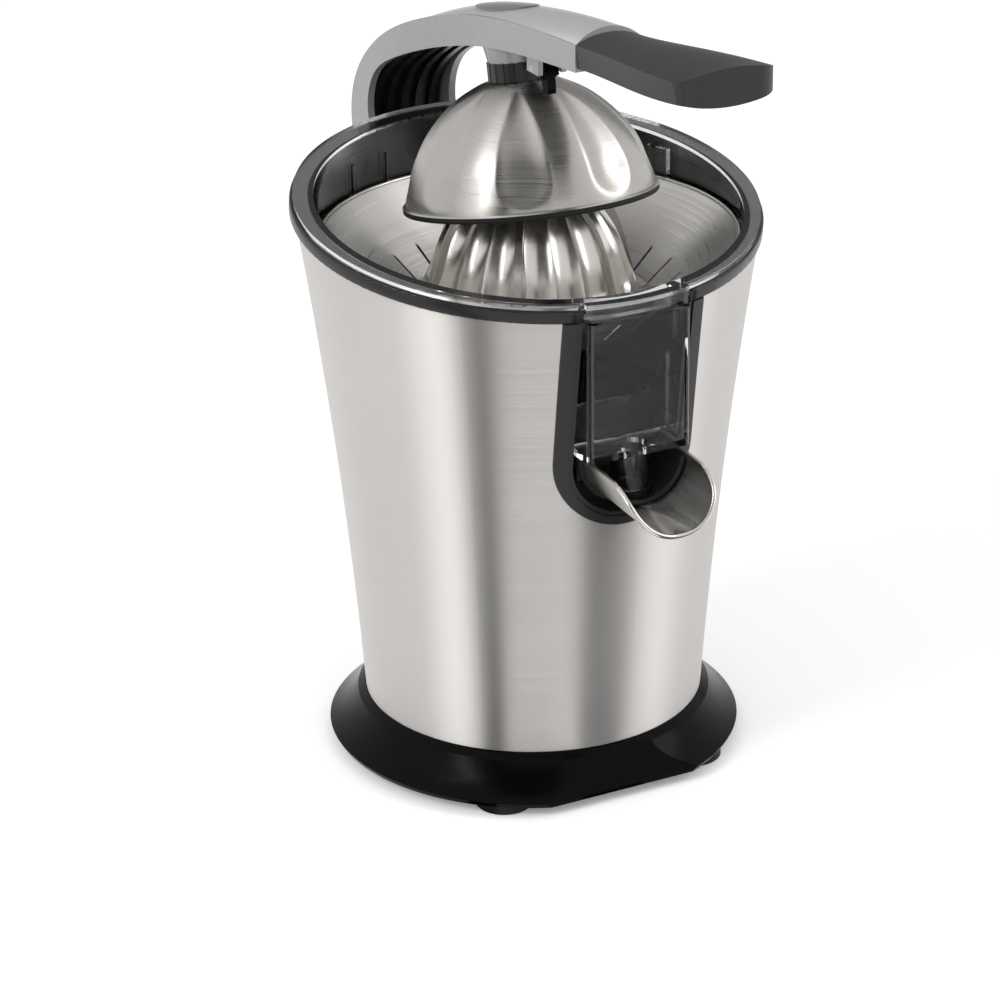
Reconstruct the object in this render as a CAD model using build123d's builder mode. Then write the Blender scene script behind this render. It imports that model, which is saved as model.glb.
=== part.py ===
from build123d import *
from math import atan, cos, pi, radians, sin, sqrt, tan
import os

os.makedirs("parts", exist_ok=True)

# Lever citrus juicer with a motor drive. Millimetres, +Z up, the spout faces -Y and the
# arm is hinged at +Y. The origin is the centre of the flat underside; the feet stand lower.

# ---------------------------------------------------------------- body sizes
FIT = 0.3  # gap between pieces that only pass each other
RUN = 0.06  # radial running clearance of a shaft in its bore
SLIP = 0.12  # clearance of a socket that is pulled off by hand
PRESS = 0.02  # radial gap of a pressed pin
shell_foot_r = 70.5
shell_top_r = 95.4
shell_waist_sag = 2.5  # how far the tapered wall bows inwards at mid height
shell_low_z = 20.0
shell_high_z = 240.0
shell_wall = 1.0

rim_tilt = 7.4  # degrees, the rim rises towards the hinge
rim_z = 230.0  # height of the rim's top edge above the axis
rim_shift = 1.8  # the sloped cut moves the rim's centre back
rim_r = shell_top_r - 0.4
rim_band = 5.3
rim_bite = 2.0  # how deep the steel edge sits in the rim

foot_r = 12.0
foot_drop = 2.0
foot_ring_r = 73.0
foot_angles = (53.0, 127.0, 233.0, 307.0)
skirt_r = 86.0
skirt_low_z = 2.0
skirt_shoulder_r = 74.6
skirt_flat_y = 78.5  # flat facet at the front, where the glass stands
plate_r = 60.6
plate_vents = 16
plate_vent_w = 3.0
plate_vent_ring_r = 34.0
plate_t = 3.0
plate_screw_ring_r = 54.5
plate_screw_r = 1.5
plate_head_r = 3.2
plate_head_t = 1.2
plate_head_z = 0.2  # how far the screw heads sit below the underside
plate_screw_l = 11.0
gland_z = 10.5
gland_r = 5.0
gland_bore_r = 3.4
gland_flange = 1.6
gland_out_y = 86.0
foot_peg_r = 2.6
foot_peg_l = 4.0

bezel_half = 30.7
bezel_arc_z = 152.5
bezel_proud = 1.0
bezel_lap = 2.2  # how far the bezel overlaps the steel's cut edge
bezel_depth = 2.2
recess_half = 23.2
recess_arc_z = 150.5
recess_back_y = 64.0
recess_wall = 2.0
recess_side_z = 163.0
recess_back_z = 152.0

# ---------------------------------------------------------------- juice path sizes
bowl_r = rim_r - 6.8
bowl_wall = 2.2
bowl_lip = 2.2
bowl_ledge_z = 217.0
bowl_floor_z = 168.0
bowl_knee_z = 196.0  # where the tub starts to round in towards its floor
bowl_knee_r = 85.2
bowl_floor_r = 62.0
flange_w = 13.6
lug_angle = 23.0
lug_w = 4.0
lug_l = 10.5
bowl_rib_angles = (106.0, 120.0)
window_half = 22.5
window_front_y = 92.2
window_low_z = 155.3
window_corner_r = 2.5
window_joint_y = 74.9  # the window box is welded to the tub along this plane
peg_x = 7.2
peg_r = 1.3
nozzle_y = 83.0
nozzle_r = 7.8
nozzle_low_z = 139.6
nozzle_wall = 1.8
hub_r = 10.2
hub_bore_r = 7.5
hub_top_z = 183.5

strainer_r = bowl_r - bowl_wall - 1.1
strainer_t = 1.0
slot_count = 24
slot_w = 1.3
slot_turn = 7.0
outer_slot_ring_r = 56.5
outer_slot_l = 10.5
inner_slot_ring_r = 33.0
inner_slot_l = 20.0
strainer_pan_r = 47.0
strainer_pan_z = 184.8
strainer_hub_r = 13.0

reamer_low_z = 187.5
reamer_skirt_r = 49.6
fin_outline = ((45.6, 195.5), (42.6, 206.0), (38.6, 219.0), (31.0, 231.5), (19.0, 242.0), (0.0, 248.5))
core_outline = ((43.4, 196.0), (39.4, 206.5), (35.0, 219.0), (27.6, 230.0), (16.5, 239.5), (0.0, 245.0))
core_top_z = 211.0  # ledge inside the reamer that rests on its core
fin_count = 6
fin_w = 3.0
fin_turn = 56.0
scoop_r = 10.0
scoop_pitch = 17.5  # degrees between the three scoops that lie between two fins

trough_r = 18.6
trough_wall = 1.2
trough_l = 52.0
trough_tilt = 2.0
trough_rear_y = 74.5
trough_rear_z = 154.4
trough_lip = ((-100.0, 154.6), (-112.0, 150.6), (-119.6, 144.0), (-122.9, 137.4), (-122.6, 131.0))
spout_pivot_y = 71.0
spout_pivot_z = 148.0
spout_pin_r = 2.5
spout_pin_x = (15.5, 25.2)  # inner and outer end of each pin
holder_ear_r = 4.6
holder_half = 21.4

# ---------------------------------------------------------------- drive sizes
press_travel = 1.5
shaft_r = 5.0
shaft_flat = 4.0
shaft_low_z = 105.0
shaft_top_z = 204.0
gear_plate_z = 96.0
gear_plate_t = 3.0
gearbox_r = 60.0
gearbox_top_z = 126.0
gearbox_wall = 3.0
gearbox_screw_ring_r = 63.0
gearbox_screw_r = 1.3
idler_pin_r = 3.0
bush_r = 9.0
yoke_r = 7.5
yoke_stem_r = 3.2
yoke_t = 3.0
spring_r = 4.8
spring_turns = 5
spring_wire_r = 0.55
switch_x = -30.0
plunger_r = 1.5
housing_r = 68.0
housing_wall = 2.0
housing_top_z = 134.0
idler_y = 30.0
motor_x = 24.0
motor_r = 21.5
motor_low_z = 34.0
motor_shaft_r = 3.0
rotor_r = 15.0
fine_module = 1.0
coarse_module = 1.25
small_teeth = 12
large_teeth = 36
low_gear_z = 103.0
low_gear_t = 6.0
high_gear_z = 112.0
high_gear_t = 8.0
gear_slack = 0.35  # backlash taken off the tooth thickness

# ---------------------------------------------------------------- arm sizes
pivot_y = 113.0
pivot_z = 220.0
pin_r = 4.0
arm_root_half = 20.5
arm_mid_half = 14.0
arm_wall = 2.8
arm_web = 3.2
arm_eye_r = 10.2
liner_half = 16.2
rib_pitch = 6.6
rib_w = 2.8
badge_y = 17.0
badge_rx = 9.5
badge_ry = 21.0
badge_proud = 0.7
arm_joint_y = -66.0  # where the grip starts
arm_back = (
    (122.5, 232.0), (118.5, 253.0), (102.3, 271.1), (74.6, 287.6), (36.2, 301.0), (-4.1, 309.2), (-45.7, 314.0),
    (-66.0, 315.5),
)
arm_under = (
    (-66.0, 304.7), (-20.8, 299.5), (13.2, 293.8), (59.3, 280.6), (83.8, 270.4), (99.0, 260.5), (105.6, 248.9),
    (104.6, 236.0),
)
arm_crown = ((70.0, 0.9), (50.0, 2.6), (20.0, 2.8), (-10.0, 3.4), (-40.0, 4.6), (-66.0, 5.5))
channel_front_y = 36.0
grip_front_y = 158.0
grip_corner_r = 9.0
grip_crown = 3.2
grip_low = ((-66.0, 304.7), (-88.8, 307.4), (-106.8, 309.5), (-133.0, 313.0), (-146.0, 314.8), (-160.0, 317.2))
grip_high = ((-66.0, 315.5), (-88.8, 318.1), (-115.5, 321.6), (-132.9, 323.5), (-152.0, 326.0), (-160.0, 327.0))
housing_half = 14.0
housing_screw_z = (179.0, 186.0)
housing_screw_r = 1.75
housing_head_r = 3.4
housing_low_z = 174.5
washer_r = 8.0
cheek_t = 3.0  # side wall of the arm at the hinge
nose_r = 9.0

dome_y = -2.3
dome_z = 232.2
dome_tilt = 11.6
dome_h = 48.8
dome_wall = 1.8
dome_outline = ((50.0, 2.0), (49.4, 8.0), (45.6, 20.5), (38.6, 31.0), (28.0, 41.0), (17.0, 47.2), (12.0, 48.8))
scallop_count = 8
scallop_turn = 16.5
scallop_r = 60.0
neck_r = 12.2
neck_h = 7.6
latch_y = -15.0
latch_z = 291.2
latch_pin_r = 1.25
finger_half = 3.8
finger_pin_half = 6.3
socket_stem_r = 6.0
screw_tip_r = 4.0
screw_shank_r = 4.8
screw_head_r = 9.0
screw_head_t = 2.5

rim_dir = Vector(0, -sin(radians(rim_tilt)), cos(radians(rim_tilt)))
rim_origin = Vector(0, rim_shift, rim_z + rim_shift * tan(radians(rim_tilt)))
rim_plane = Plane(origin=rim_origin, x_dir=(1, 0, 0), z_dir=rim_dir)
rim_section = Plane(origin=rim_origin, x_dir=(1, 0, 0), z_dir=(0, -rim_dir.Z, rim_dir.Y))
rim_axis = Axis(rim_origin, rim_dir)

dome_dir = Vector(0, sin(radians(dome_tilt)), cos(radians(dome_tilt)))
dome_origin = Vector(0, dome_y, dome_z)
dome_plane = Plane(origin=dome_origin, x_dir=(1, 0, 0), z_dir=dome_dir)
dome_section = Plane(origin=dome_origin, x_dir=(1, 0, 0), z_dir=(0, -dome_dir.Z, dome_dir.Y))
dome_axis = Axis(dome_origin, dome_dir)
dome_across = (0, dome_dir.Z, -dome_dir.Y)


def revolve_outline(points, plane=Plane.XZ, axis=Axis.Z, mode=Mode.ADD):
    """Turn a closed outline of (radius, height) points about an axis."""
    with BuildSketch(plane) as outline:
        with BuildLine():
            Polyline(*points, close=True)
        make_face()
    revolve(outline.sketch, axis=axis, mode=mode)


def skin_band(outer, inner, low=shell_low_z, mode=Mode.ADD):
    """Turn the tapered wall between two offsets from the shell's outside."""
    middle_r = (shell_foot_r + shell_top_r) / 2 - shell_waist_sag
    middle_z = (shell_low_z + shell_high_z) / 2
    with BuildSketch(Plane.XZ) as band:
        with BuildLine():
            outside = ThreePointArc(
                (shell_foot_r + outer, shell_low_z), (middle_r + outer, middle_z), (shell_top_r + outer, shell_high_z)
            )
            if inner is None:
                Polyline(outside @ 1, (0, shell_high_z), (0, low), outside @ 0)
            else:
                inside = ThreePointArc(
                    (shell_foot_r + inner, shell_low_z), (middle_r + inner, middle_z),
                    (shell_top_r + inner, shell_high_z),
                )
                Line(outside @ 0, inside @ 0)
                Line(outside @ 1, inside @ 1)
        make_face()
    revolve(band.sketch, axis=Axis.Z, mode=mode)


def u_shape(half, arc_z, top_z=260.0):
    """A slot outline in the XZ plane, round at the bottom and open upwards."""
    with Locations((0, arc_z)):
        Circle(half)
    with Locations((0, (arc_z + top_z) / 2)):
        Rectangle(2 * half, top_z - arc_z)


def front_prism(half, arc_z, near_y, far_y, top_z=260.0, mode=Mode.ADD):
    """Push the slot outline from near_y to far_y, both measured towards the front."""
    with BuildSketch(Plane.XZ.offset(near_y)) as outline:
        u_shape(half, arc_z, top_z)
    extrude(outline.sketch, amount=far_y - near_y, mode=mode)


def block(x_low, x_high, y_low, y_high, z_low, z_high, mode=Mode.ADD):
    """A plain block between two corners."""
    with BuildSketch(Plane.XY.offset(z_low)) as outline:
        with Locations(((x_low + x_high) / 2, (y_low + y_high) / 2)):
            Rectangle(x_high - x_low, y_high - y_low)
    extrude(outline.sketch, amount=z_high - z_low, mode=mode)


def disc(radius, z_low, z_high, centre=(0, 0), mode=Mode.ADD):
    """A vertical cylinder between two heights."""
    with BuildSketch(Plane.XY.offset(z_low)) as outline:
        with Locations(centre):
            Circle(radius)
    extrude(outline.sketch, amount=z_high - z_low, mode=mode)


def cross_rod(radius, y, z, x_low, x_high, mode=Mode.ADD):
    """A cylinder along X between two sides."""
    with BuildSketch(Plane.YZ.offset(x_low)) as outline:
        with Locations((y, z)):
            Circle(radius)
    extrude(outline.sketch, amount=x_high - x_low, mode=mode)


def double_d(radius, flat):
    """A round section with two flats."""
    Circle(radius)
    Rectangle(2 * flat, 2 * radius + 2, mode=Mode.INTERSECT)


def save(built, name):
    """Label a finished piece and write its STEP file."""
    built.part.label = name
    export_step(built.part, f"parts/{name}.step")


# ---------------------------------------------------------------- base
spigot_r = shell_foot_r - shell_wall - FIT
spigot_top_z = shell_low_z + 4
tube_in_r = housing_r - housing_wall
ring_in_r = plate_r + FIT

with BuildPart() as base_skirt:
    with BuildSketch(Plane.XZ):
        with BuildLine():
            flare = ThreePointArc((skirt_r, skirt_low_z + 2.0), (80.0, 9.0), (skirt_shoulder_r, shell_low_z - 3.8))
            Polyline(
                flare @ 1, (skirt_shoulder_r - 0.7, shell_low_z - 2.6), (shell_foot_r + 0.4, shell_low_z - 0.6),
                (shell_foot_r + 0.4, shell_low_z), (spigot_r, shell_low_z), (spigot_r, spigot_top_z),
                (tube_in_r, spigot_top_z), (tube_in_r, 12), (ring_in_r, 8), (ring_in_r, skirt_low_z),
                (skirt_r - 1, skirt_low_z), flare @ 0,
            )
        make_face()
    revolve(axis=Axis.Z)
    with BuildSketch(Plane.YZ):
        with BuildLine():
            Polyline(
                (-skirt_flat_y, -5), (-skirt_flat_y, 3.5), (-shell_foot_r - 0.6, shell_low_z - 0.8),
                (-120, shell_low_z - 0.8), (-120, -5), close=True,
            )
        make_face()
    extrude(amount=100, both=True, mode=Mode.SUBTRACT)
    with BuildSketch(Plane.XY.offset(plate_t)):
        with PolarLocations(plate_screw_ring_r, 4, start_angle=45):
            Circle(4)
            with Locations((7, 0)):
                Rectangle(11, 3)
    extrude(amount=15)
    with BuildSketch(Plane.XY.offset(plate_t)):
        with PolarLocations(plate_screw_ring_r, 4, start_angle=45):
            Circle(plate_screw_r)
    extrude(amount=plate_screw_l, mode=Mode.SUBTRACT)
    with BuildSketch(Plane.XY.offset(skirt_low_z)):
        with Locations(*[(foot_ring_r * cos(radians(a)), foot_ring_r * sin(radians(a))) for a in foot_angles]):
            Circle(foot_peg_r)
    extrude(amount=foot_peg_l + 0.5, mode=Mode.SUBTRACT)
    with BuildSketch(Plane.XZ.offset(-100)):
        with Locations((0, gland_z)):
            Circle(gland_r + RUN)
    extrude(amount=50, mode=Mode.SUBTRACT)
    with BuildSketch(Plane.XZ.offset(-100)):
        with Locations((0, gland_z)):
            Circle(gland_r + gland_flange + FIT)
    extrude(amount=100 - gland_out_y + gland_flange + 0.6, mode=Mode.SUBTRACT)
save(base_skirt, "base_skirt")

with BuildPart() as bottom_plate:
    disc(plate_r, 0, plate_t)
    with BuildSketch(Plane.XY):
        with PolarLocations(plate_vent_ring_r, plate_vents):
            SlotOverall(18, plate_vent_w)
        with PolarLocations(plate_screw_ring_r, 4, start_angle=45):
            Circle(plate_screw_r + FIT)
    extrude(amount=plate_t, mode=Mode.SUBTRACT)
    with BuildSketch(Plane.XY):
        with PolarLocations(plate_screw_ring_r, 4, start_angle=45):
            Circle(plate_head_r + 0.4)
    extrude(amount=plate_head_z + plate_head_t, mode=Mode.SUBTRACT)
save(bottom_plate, "bottom_plate")

with BuildPart() as plate_screws:
    with BuildSketch(Plane.XY.offset(plate_head_z)):
        with PolarLocations(plate_screw_ring_r, 4, start_angle=45):
            Circle(plate_head_r)
    extrude(amount=plate_head_t)
    with BuildSketch(Plane.XY.offset(plate_head_z + plate_head_t)):
        with PolarLocations(plate_screw_ring_r, 4, start_angle=45):
            Circle(plate_screw_r)
    extrude(amount=plate_screw_l)
    with BuildSketch(Plane.XY.offset(plate_head_z)):
        with PolarLocations(plate_screw_ring_r, 4, start_angle=45):
            Rectangle(3.6, 0.7)
            Rectangle(0.7, 3.6)
    extrude(amount=0.7, mode=Mode.SUBTRACT)
save(plate_screws, "plate_screws")

with BuildPart() as feet:
    for angle in foot_angles:
        centre = (foot_ring_r * cos(radians(angle)), foot_ring_r * sin(radians(angle)))
        disc(foot_r, -foot_drop, skirt_low_z, centre)
        disc(foot_peg_r - RUN, skirt_low_z, skirt_low_z + foot_peg_l, centre)
    chamfer(feet.edges().filter_by(GeomType.CIRCLE).group_by(Axis.Z)[0], 0.8)
save(feet, "feet")

with BuildPart() as cord_gland:
    with BuildSketch(Plane.XZ.offset(-gland_out_y)):
        with Locations((0, gland_z)):
            Circle(gland_r)
            Circle(gland_bore_r, mode=Mode.SUBTRACT)
    extrude(amount=26)
    with BuildSketch(Plane.XZ.offset(-gland_out_y)):
        with Locations((0, gland_z)):
            Circle(gland_r + gland_flange)
            Circle(gland_bore_r, mode=Mode.SUBTRACT)
    extrude(amount=2.2)
save(cord_gland, "cord_gland")

# ---------------------------------------------------------------- steel body
notch_half = bezel_half - bezel_lap

with BuildPart() as steel_shell:
    skin_band(0, -shell_wall)
    split(bisect_by=rim_plane.offset(rim_bite - rim_band), keep=Keep.BOTTOM)
    front_prism(notch_half, bezel_arc_z, 40, 110, mode=Mode.SUBTRACT)
    for screw_z in housing_screw_z:
        with BuildSketch(Plane.XZ.offset(-110)):
            with Locations((0, screw_z)):
                Circle(housing_screw_r + 0.55)
        extrude(amount=40, mode=Mode.SUBTRACT)
save(steel_shell, "steel_shell")

with BuildPart() as top_collar:
    with BuildSketch(rim_section):
        with Locations((rim_r - 5, -rim_band / 2)):
            Rectangle(10, rim_band)
    revolve(axis=rim_axis)
    fillet(top_collar.edges().filter_by(GeomType.CIRCLE).sort_by(SortBy.RADIUS)[-2:], 0.8)
    disc(bowl_r + 0.4, 190, 260, mode=Mode.SUBTRACT)
    with BuildPart(mode=Mode.PRIVATE) as shell_edge:
        skin_band(RUN, -shell_wall - RUN)
        split(bisect_by=rim_plane.offset(rim_bite - rim_band), keep=Keep.BOTTOM)
    add(shell_edge.part, mode=Mode.SUBTRACT)
    block(-recess_half, recess_half, -120, -40, 190, 260, mode=Mode.SUBTRACT)
save(top_collar, "top_collar")

with BuildPart() as window_bezel:
    for outer, inner, half in ((bezel_proud, RUN, bezel_half), (bezel_proud, -bezel_depth, notch_half - RUN)):
        with BuildPart(mode=Mode.PRIVATE) as layer:
            skin_band(outer, inner)
            front_prism(half, bezel_arc_z, 40, 110, mode=Mode.INTERSECT)
        add(layer.part)
    with BuildPart(mode=Mode.PRIVATE) as lap:
        skin_band(-shell_wall - RUN, -bezel_depth)
        front_prism(bezel_half, bezel_arc_z, 40, 110, mode=Mode.INTERSECT)
    add(lap.part)
    with BuildPart(mode=Mode.PRIVATE) as recess:
        front_prism(recess_half + recess_wall, recess_arc_z, recess_back_y - recess_wall, 86, recess_side_z)
        front_prism(recess_half, recess_arc_z, recess_back_y, 110, mode=Mode.SUBTRACT)
        block(-40, 40, -recess_back_y, 0, recess_back_z, 200, mode=Mode.SUBTRACT)
        skin_band(0, None, mode=Mode.INTERSECT)
    add(recess.part)
    with BuildPart(mode=Mode.PRIVATE) as step:
        skin_band(3, 0.35)
        front_prism(recess_half + 2.0, recess_arc_z, 40, 110, mode=Mode.INTERSECT)
    add(step.part, mode=Mode.SUBTRACT)
    front_prism(recess_half, recess_arc_z, recess_back_y, 110, mode=Mode.SUBTRACT)
    cross_rod(spout_pin_r + RUN, -spout_pivot_y, spout_pivot_z, -26, 26, mode=Mode.SUBTRACT)
    split(bisect_by=rim_plane.offset(-rim_band), keep=Keep.BOTTOM)
save(window_bezel, "window_bezel")

# ---------------------------------------------------------------- juice path
with BuildPart(mode=Mode.PRIVATE) as clear_body:
    revolve_outline((
        (bowl_r, 250), (bowl_r, 212), (bowl_knee_r, bowl_knee_z), (74, 176),
        (bowl_floor_r, bowl_floor_z - bowl_wall), (0, bowl_floor_z - bowl_wall), (0, 250),
    ))
    split(bisect_by=rim_plane.offset(bowl_lip), keep=Keep.BOTTOM)
    with BuildPart(mode=Mode.PRIVATE) as flange:
        with BuildSketch(rim_section):
            with Locations((rim_r - 1.2 - flange_w / 2, bowl_lip / 2)):
                Rectangle(flange_w, bowl_lip)
        revolve(axis=rim_axis)
    add(flange.part)
    with BuildPart(mode=Mode.PRIVATE) as front_lip:
        with BuildSketch(rim_section):
            with Locations((rim_r - 0.2 - (flange_w + 1.2) / 2, (bowl_lip - rim_band) / 2)):
                Rectangle(flange_w + 1.2, bowl_lip + rim_band)
        revolve(axis=rim_axis)
        block(-window_half, window_half, -120, -40, 190, 260, mode=Mode.INTERSECT)
    add(front_lip.part)
    with BuildPart(mode=Mode.PRIVATE) as box:
        block(-window_half, window_half, -window_front_y, -60, window_low_z, 230)
        fillet(box.edges().filter_by(Axis.Z).group_by(Axis.Y)[0], window_corner_r)
        split(bisect_by=rim_plane.offset(-rim_band), keep=Keep.BOTTOM)
    add(box.part)
    revolve_outline((
        (bowl_r - bowl_wall, 260), (bowl_r - bowl_wall, bowl_ledge_z), (83.2, bowl_ledge_z),
        (bowl_knee_r - 2.4, bowl_knee_z + 1), (72.2, 178.4), (bowl_floor_r - 1, bowl_floor_z), (0, bowl_floor_z),
        (0, 260),
    ), mode=Mode.SUBTRACT)
    inside_half = window_half - bowl_wall
    block(
        -inside_half, inside_half, bowl_wall - window_front_y, -60 - bowl_wall, window_low_z + bowl_wall, 214,
        mode=Mode.SUBTRACT,
    )
    block(-inside_half, inside_half, -80, -52, bowl_floor_z, 214, mode=Mode.SUBTRACT)
    disc(nozzle_r - nozzle_wall, nozzle_low_z, window_low_z + 4, (0, -nozzle_y), mode=Mode.SUBTRACT)
    for side in (-1, 1):
        disc(peg_r, window_low_z - 1.2, window_low_z + 0.4, (side * peg_x, 4.2 - window_front_y))
    with BuildSketch(Plane.XY.offset(bowl_ledge_z + 1.4)) as wall_marks:
        with PolarLocations(bowl_r - bowl_wall - 0.9, 1, start_angle=lug_angle):
            RectangleRounded(lug_w, lug_l, 1.4)
        for rib_angle in bowl_rib_angles:
            with PolarLocations(bowl_r - bowl_wall - 0.3, 1, start_angle=rib_angle):
                Rectangle(2.2, 1.6)
    extrude(wall_marks.sketch, amount=13)
    disc(hub_r, bowl_floor_z - bowl_wall, hub_top_z)
    disc(hub_bore_r, 150, hub_top_z, mode=Mode.SUBTRACT)

with BuildPart() as juice_window:
    add(clear_body.part)
    block(-window_half, window_half, -130, -window_joint_y, 120, 260, mode=Mode.INTERSECT)
save(juice_window, "juice_window")

with BuildPart() as juice_bowl:
    add(clear_body.part)
    block(
        -window_half - PRESS, window_half + PRESS, -130, PRESS - window_joint_y, 120, 260, mode=Mode.SUBTRACT
    )
save(juice_bowl, "juice_bowl")

with BuildPart() as outlet_nozzle:
    disc(nozzle_r, nozzle_low_z, window_low_z - PRESS, (0, -nozzle_y))
    disc(nozzle_r - nozzle_wall, nozzle_low_z, window_low_z, (0, -nozzle_y), mode=Mode.SUBTRACT)
save(outlet_nozzle, "outlet_nozzle")

with BuildPart() as strainer:
    rim_top = bowl_ledge_z + strainer_t
    revolve_outline((
        (strainer_r, bowl_ledge_z), (strainer_r, rim_top), (83.0, rim_top),
        (strainer_pan_r + 4.5, strainer_pan_z + 5), (strainer_pan_r, strainer_pan_z), (strainer_hub_r, strainer_pan_z),
        (strainer_hub_r, strainer_pan_z - strainer_t), (strainer_pan_r + 0.4, strainer_pan_z - strainer_t),
        (strainer_pan_r + 5, strainer_pan_z + 4), (82.8, bowl_ledge_z),
    ))
    with BuildSketch(Plane.XY.offset(150)):
        with PolarLocations(outer_slot_ring_r, slot_count, start_angle=slot_turn):
            SlotOverall(outer_slot_l, slot_w)
        with PolarLocations(inner_slot_ring_r, slot_count // 2, start_angle=slot_turn):
            SlotOverall(inner_slot_l, slot_w)
    extrude(amount=80, mode=Mode.SUBTRACT)
save(strainer, "strainer")


def reamer_profile(outline):
    """Half section of the reamer: a dome of the given outline on the flared skirt."""
    with BuildLine() as section:
        ogive = Spline(*outline, tangents=((-0.3, 1), (-1, 0.02)))
        skirt = ThreePointArc((reamer_skirt_r, reamer_low_z + 3), (46.6, 192.8), ogive @ 0)
        Polyline(
            ogive @ 1, (0, 200), (reamer_skirt_r - 4, reamer_low_z + 2), (reamer_skirt_r, reamer_low_z + 2),
            skirt @ 0,
        )
    make_face(section.line)


with BuildPart() as reamer_shell:
    with BuildSketch(Plane.XZ) as core_half:
        reamer_profile(core_outline)
    revolve(core_half.sketch, axis=Axis.Z)
    scoop_rail = Edge.make_three_point_arc((48.0, 0, 205.6), (42.0, 0, 222.8), (29.6, 0, 242.0))
    with BuildPart(mode=Mode.PRIVATE) as scoop:
        with BuildSketch(Plane(origin=scoop_rail @ 0, x_dir=(0, 1, 0), z_dir=scoop_rail % 0)) as tool:
            Circle(scoop_r)
        sweep(tool.sketch, path=scoop_rail)
        with Locations(scoop_rail @ 0, scoop_rail @ 1):
            Sphere(scoop_r)
    for step in (-1, 0, 1):
        with PolarLocations(0, fin_count, start_angle=fin_turn + 180 / fin_count + step * scoop_pitch):
            add(scoop.part, mode=Mode.SUBTRACT)
    with BuildPart(mode=Mode.PRIVATE) as fin:
        with BuildSketch(Plane.XZ) as blade:
            with BuildLine():
                edge = Spline(*fin_outline, tangents=((-0.3, 1), (-1, 0.02)))
                Polyline(edge @ 1, (0, 225), (30, 205), (42.0, 193.4), edge @ 0)
            make_face()
        extrude(blade.sketch, amount=fin_w / 2, both=True)
    with PolarLocations(0, fin_count, start_angle=fin_turn):
        add(fin.part)
    revolve_outline((
        (0, 180), (reamer_skirt_r - 3, 180), (reamer_skirt_r - 3, reamer_low_z + 2.2), (36.5, 197), (31, core_top_z),
        (26, core_top_z), (21, 223), (12, 232), (0, 236),
    ), mode=Mode.SUBTRACT)
save(reamer_shell, "reamer_shell")

socket_r = shaft_r + SLIP
socket_flat = shaft_flat + SLIP

with BuildPart() as reamer_core:
    disc(11, reamer_low_z - 0.5, 214)
    disc(30.0, core_top_z - 2, core_top_z - 0.02)
    with BuildSketch(Plane.XY.offset(192)) as ribs:
        with PolarLocations(19.5, 6):
            Rectangle(19, 2)
    extrude(ribs.sketch, amount=18)
    with BuildSketch(Plane.XY.offset(180)) as bore:
        double_d(socket_r, socket_flat)
    extrude(bore.sketch, amount=25, mode=Mode.SUBTRACT)
save(reamer_core, "reamer_core")

trough_slope = radians(trough_tilt)
trough_plane = Plane(
    origin=(0, -trough_rear_y, trough_rear_z), x_dir=(1, 0, 0), z_dir=(0, -cos(trough_slope), -sin(trough_slope))
)


def trough_section(inner, outer):
    """The lower half of a ring, in the trough's own section."""
    Circle(outer)
    if inner > 0:
        Circle(inner, mode=Mode.SUBTRACT)
    with Locations((0, 30)):
        Rectangle(80, 60, mode=Mode.SUBTRACT)


with BuildPart() as spout_trough:
    with BuildSketch(trough_plane):
        trough_section(trough_r, trough_r + trough_wall)
    extrude(amount=trough_l)
    block(-30, 30, -130, 0, window_low_z - 0.8, 180, mode=Mode.SUBTRACT)
    with BuildSketch(Plane.YZ):
        with BuildLine():
            lip = Spline(*trough_lip)
            Polyline(lip @ 1, (-160, 131), (-160, 154.6), lip @ 0)
        make_face()
    extrude(amount=40, both=True, mode=Mode.SUBTRACT)
save(spout_trough, "spout_trough")

with BuildPart() as spout_holder:
    with BuildSketch(trough_plane.offset(-2.4)):
        trough_section(0, trough_r + trough_wall + 2)
    extrude(amount=10)
    with BuildSketch(trough_plane):
        trough_section(0, trough_r + trough_wall + RUN)
    extrude(amount=20, mode=Mode.SUBTRACT)
    for side in (-1, 1):
        ear_low, ear_high = sorted((side * 15, side * holder_half))
        cross_rod(holder_ear_r, -spout_pivot_y, spout_pivot_z, ear_low, ear_high)
        block(ear_low, ear_high, -80, -spout_pivot_y, spout_pivot_z - 4, spout_pivot_z + 3.5)
    with BuildSketch(trough_plane):
        trough_section(0, trough_r + trough_wall + RUN)
    extrude(amount=20, mode=Mode.SUBTRACT)
    block(-30, 30, -100, -50, window_low_z - 1.2, 180, mode=Mode.SUBTRACT)
    block(-12, 12, -80, -60, 149.5, 180, mode=Mode.SUBTRACT)
    cross_rod(spout_pin_r - PRESS, -spout_pivot_y, spout_pivot_z, -30, 30, mode=Mode.SUBTRACT)
save(spout_holder, "spout_holder")

with BuildPart() as spout_pins:
    for side in (-1, 1):
        cross_rod(spout_pin_r - PRESS, -spout_pivot_y, spout_pivot_z, *sorted(side * x for x in spout_pin_x))
    block(-19, 19, -90, -trough_rear_y + 0.3, 140, 160, mode=Mode.SUBTRACT)
save(spout_pins, "spout_pins")

with BuildPart() as nozzle_pad:
    disc(nozzle_r + 0.8, 130, nozzle_low_z - FIT, (0, -nozzle_y))
    with BuildPart(mode=Mode.PRIVATE) as trough_hollow:
        with BuildSketch(trough_plane):
            trough_section(0, trough_r - RUN)
        extrude(amount=30)
    add(trough_hollow.part, mode=Mode.INTERSECT)
save(nozzle_pad, "nozzle_pad")

# ---------------------------------------------------------------- drive
gear_seat_z = gear_plate_z + gear_plate_t

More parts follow.
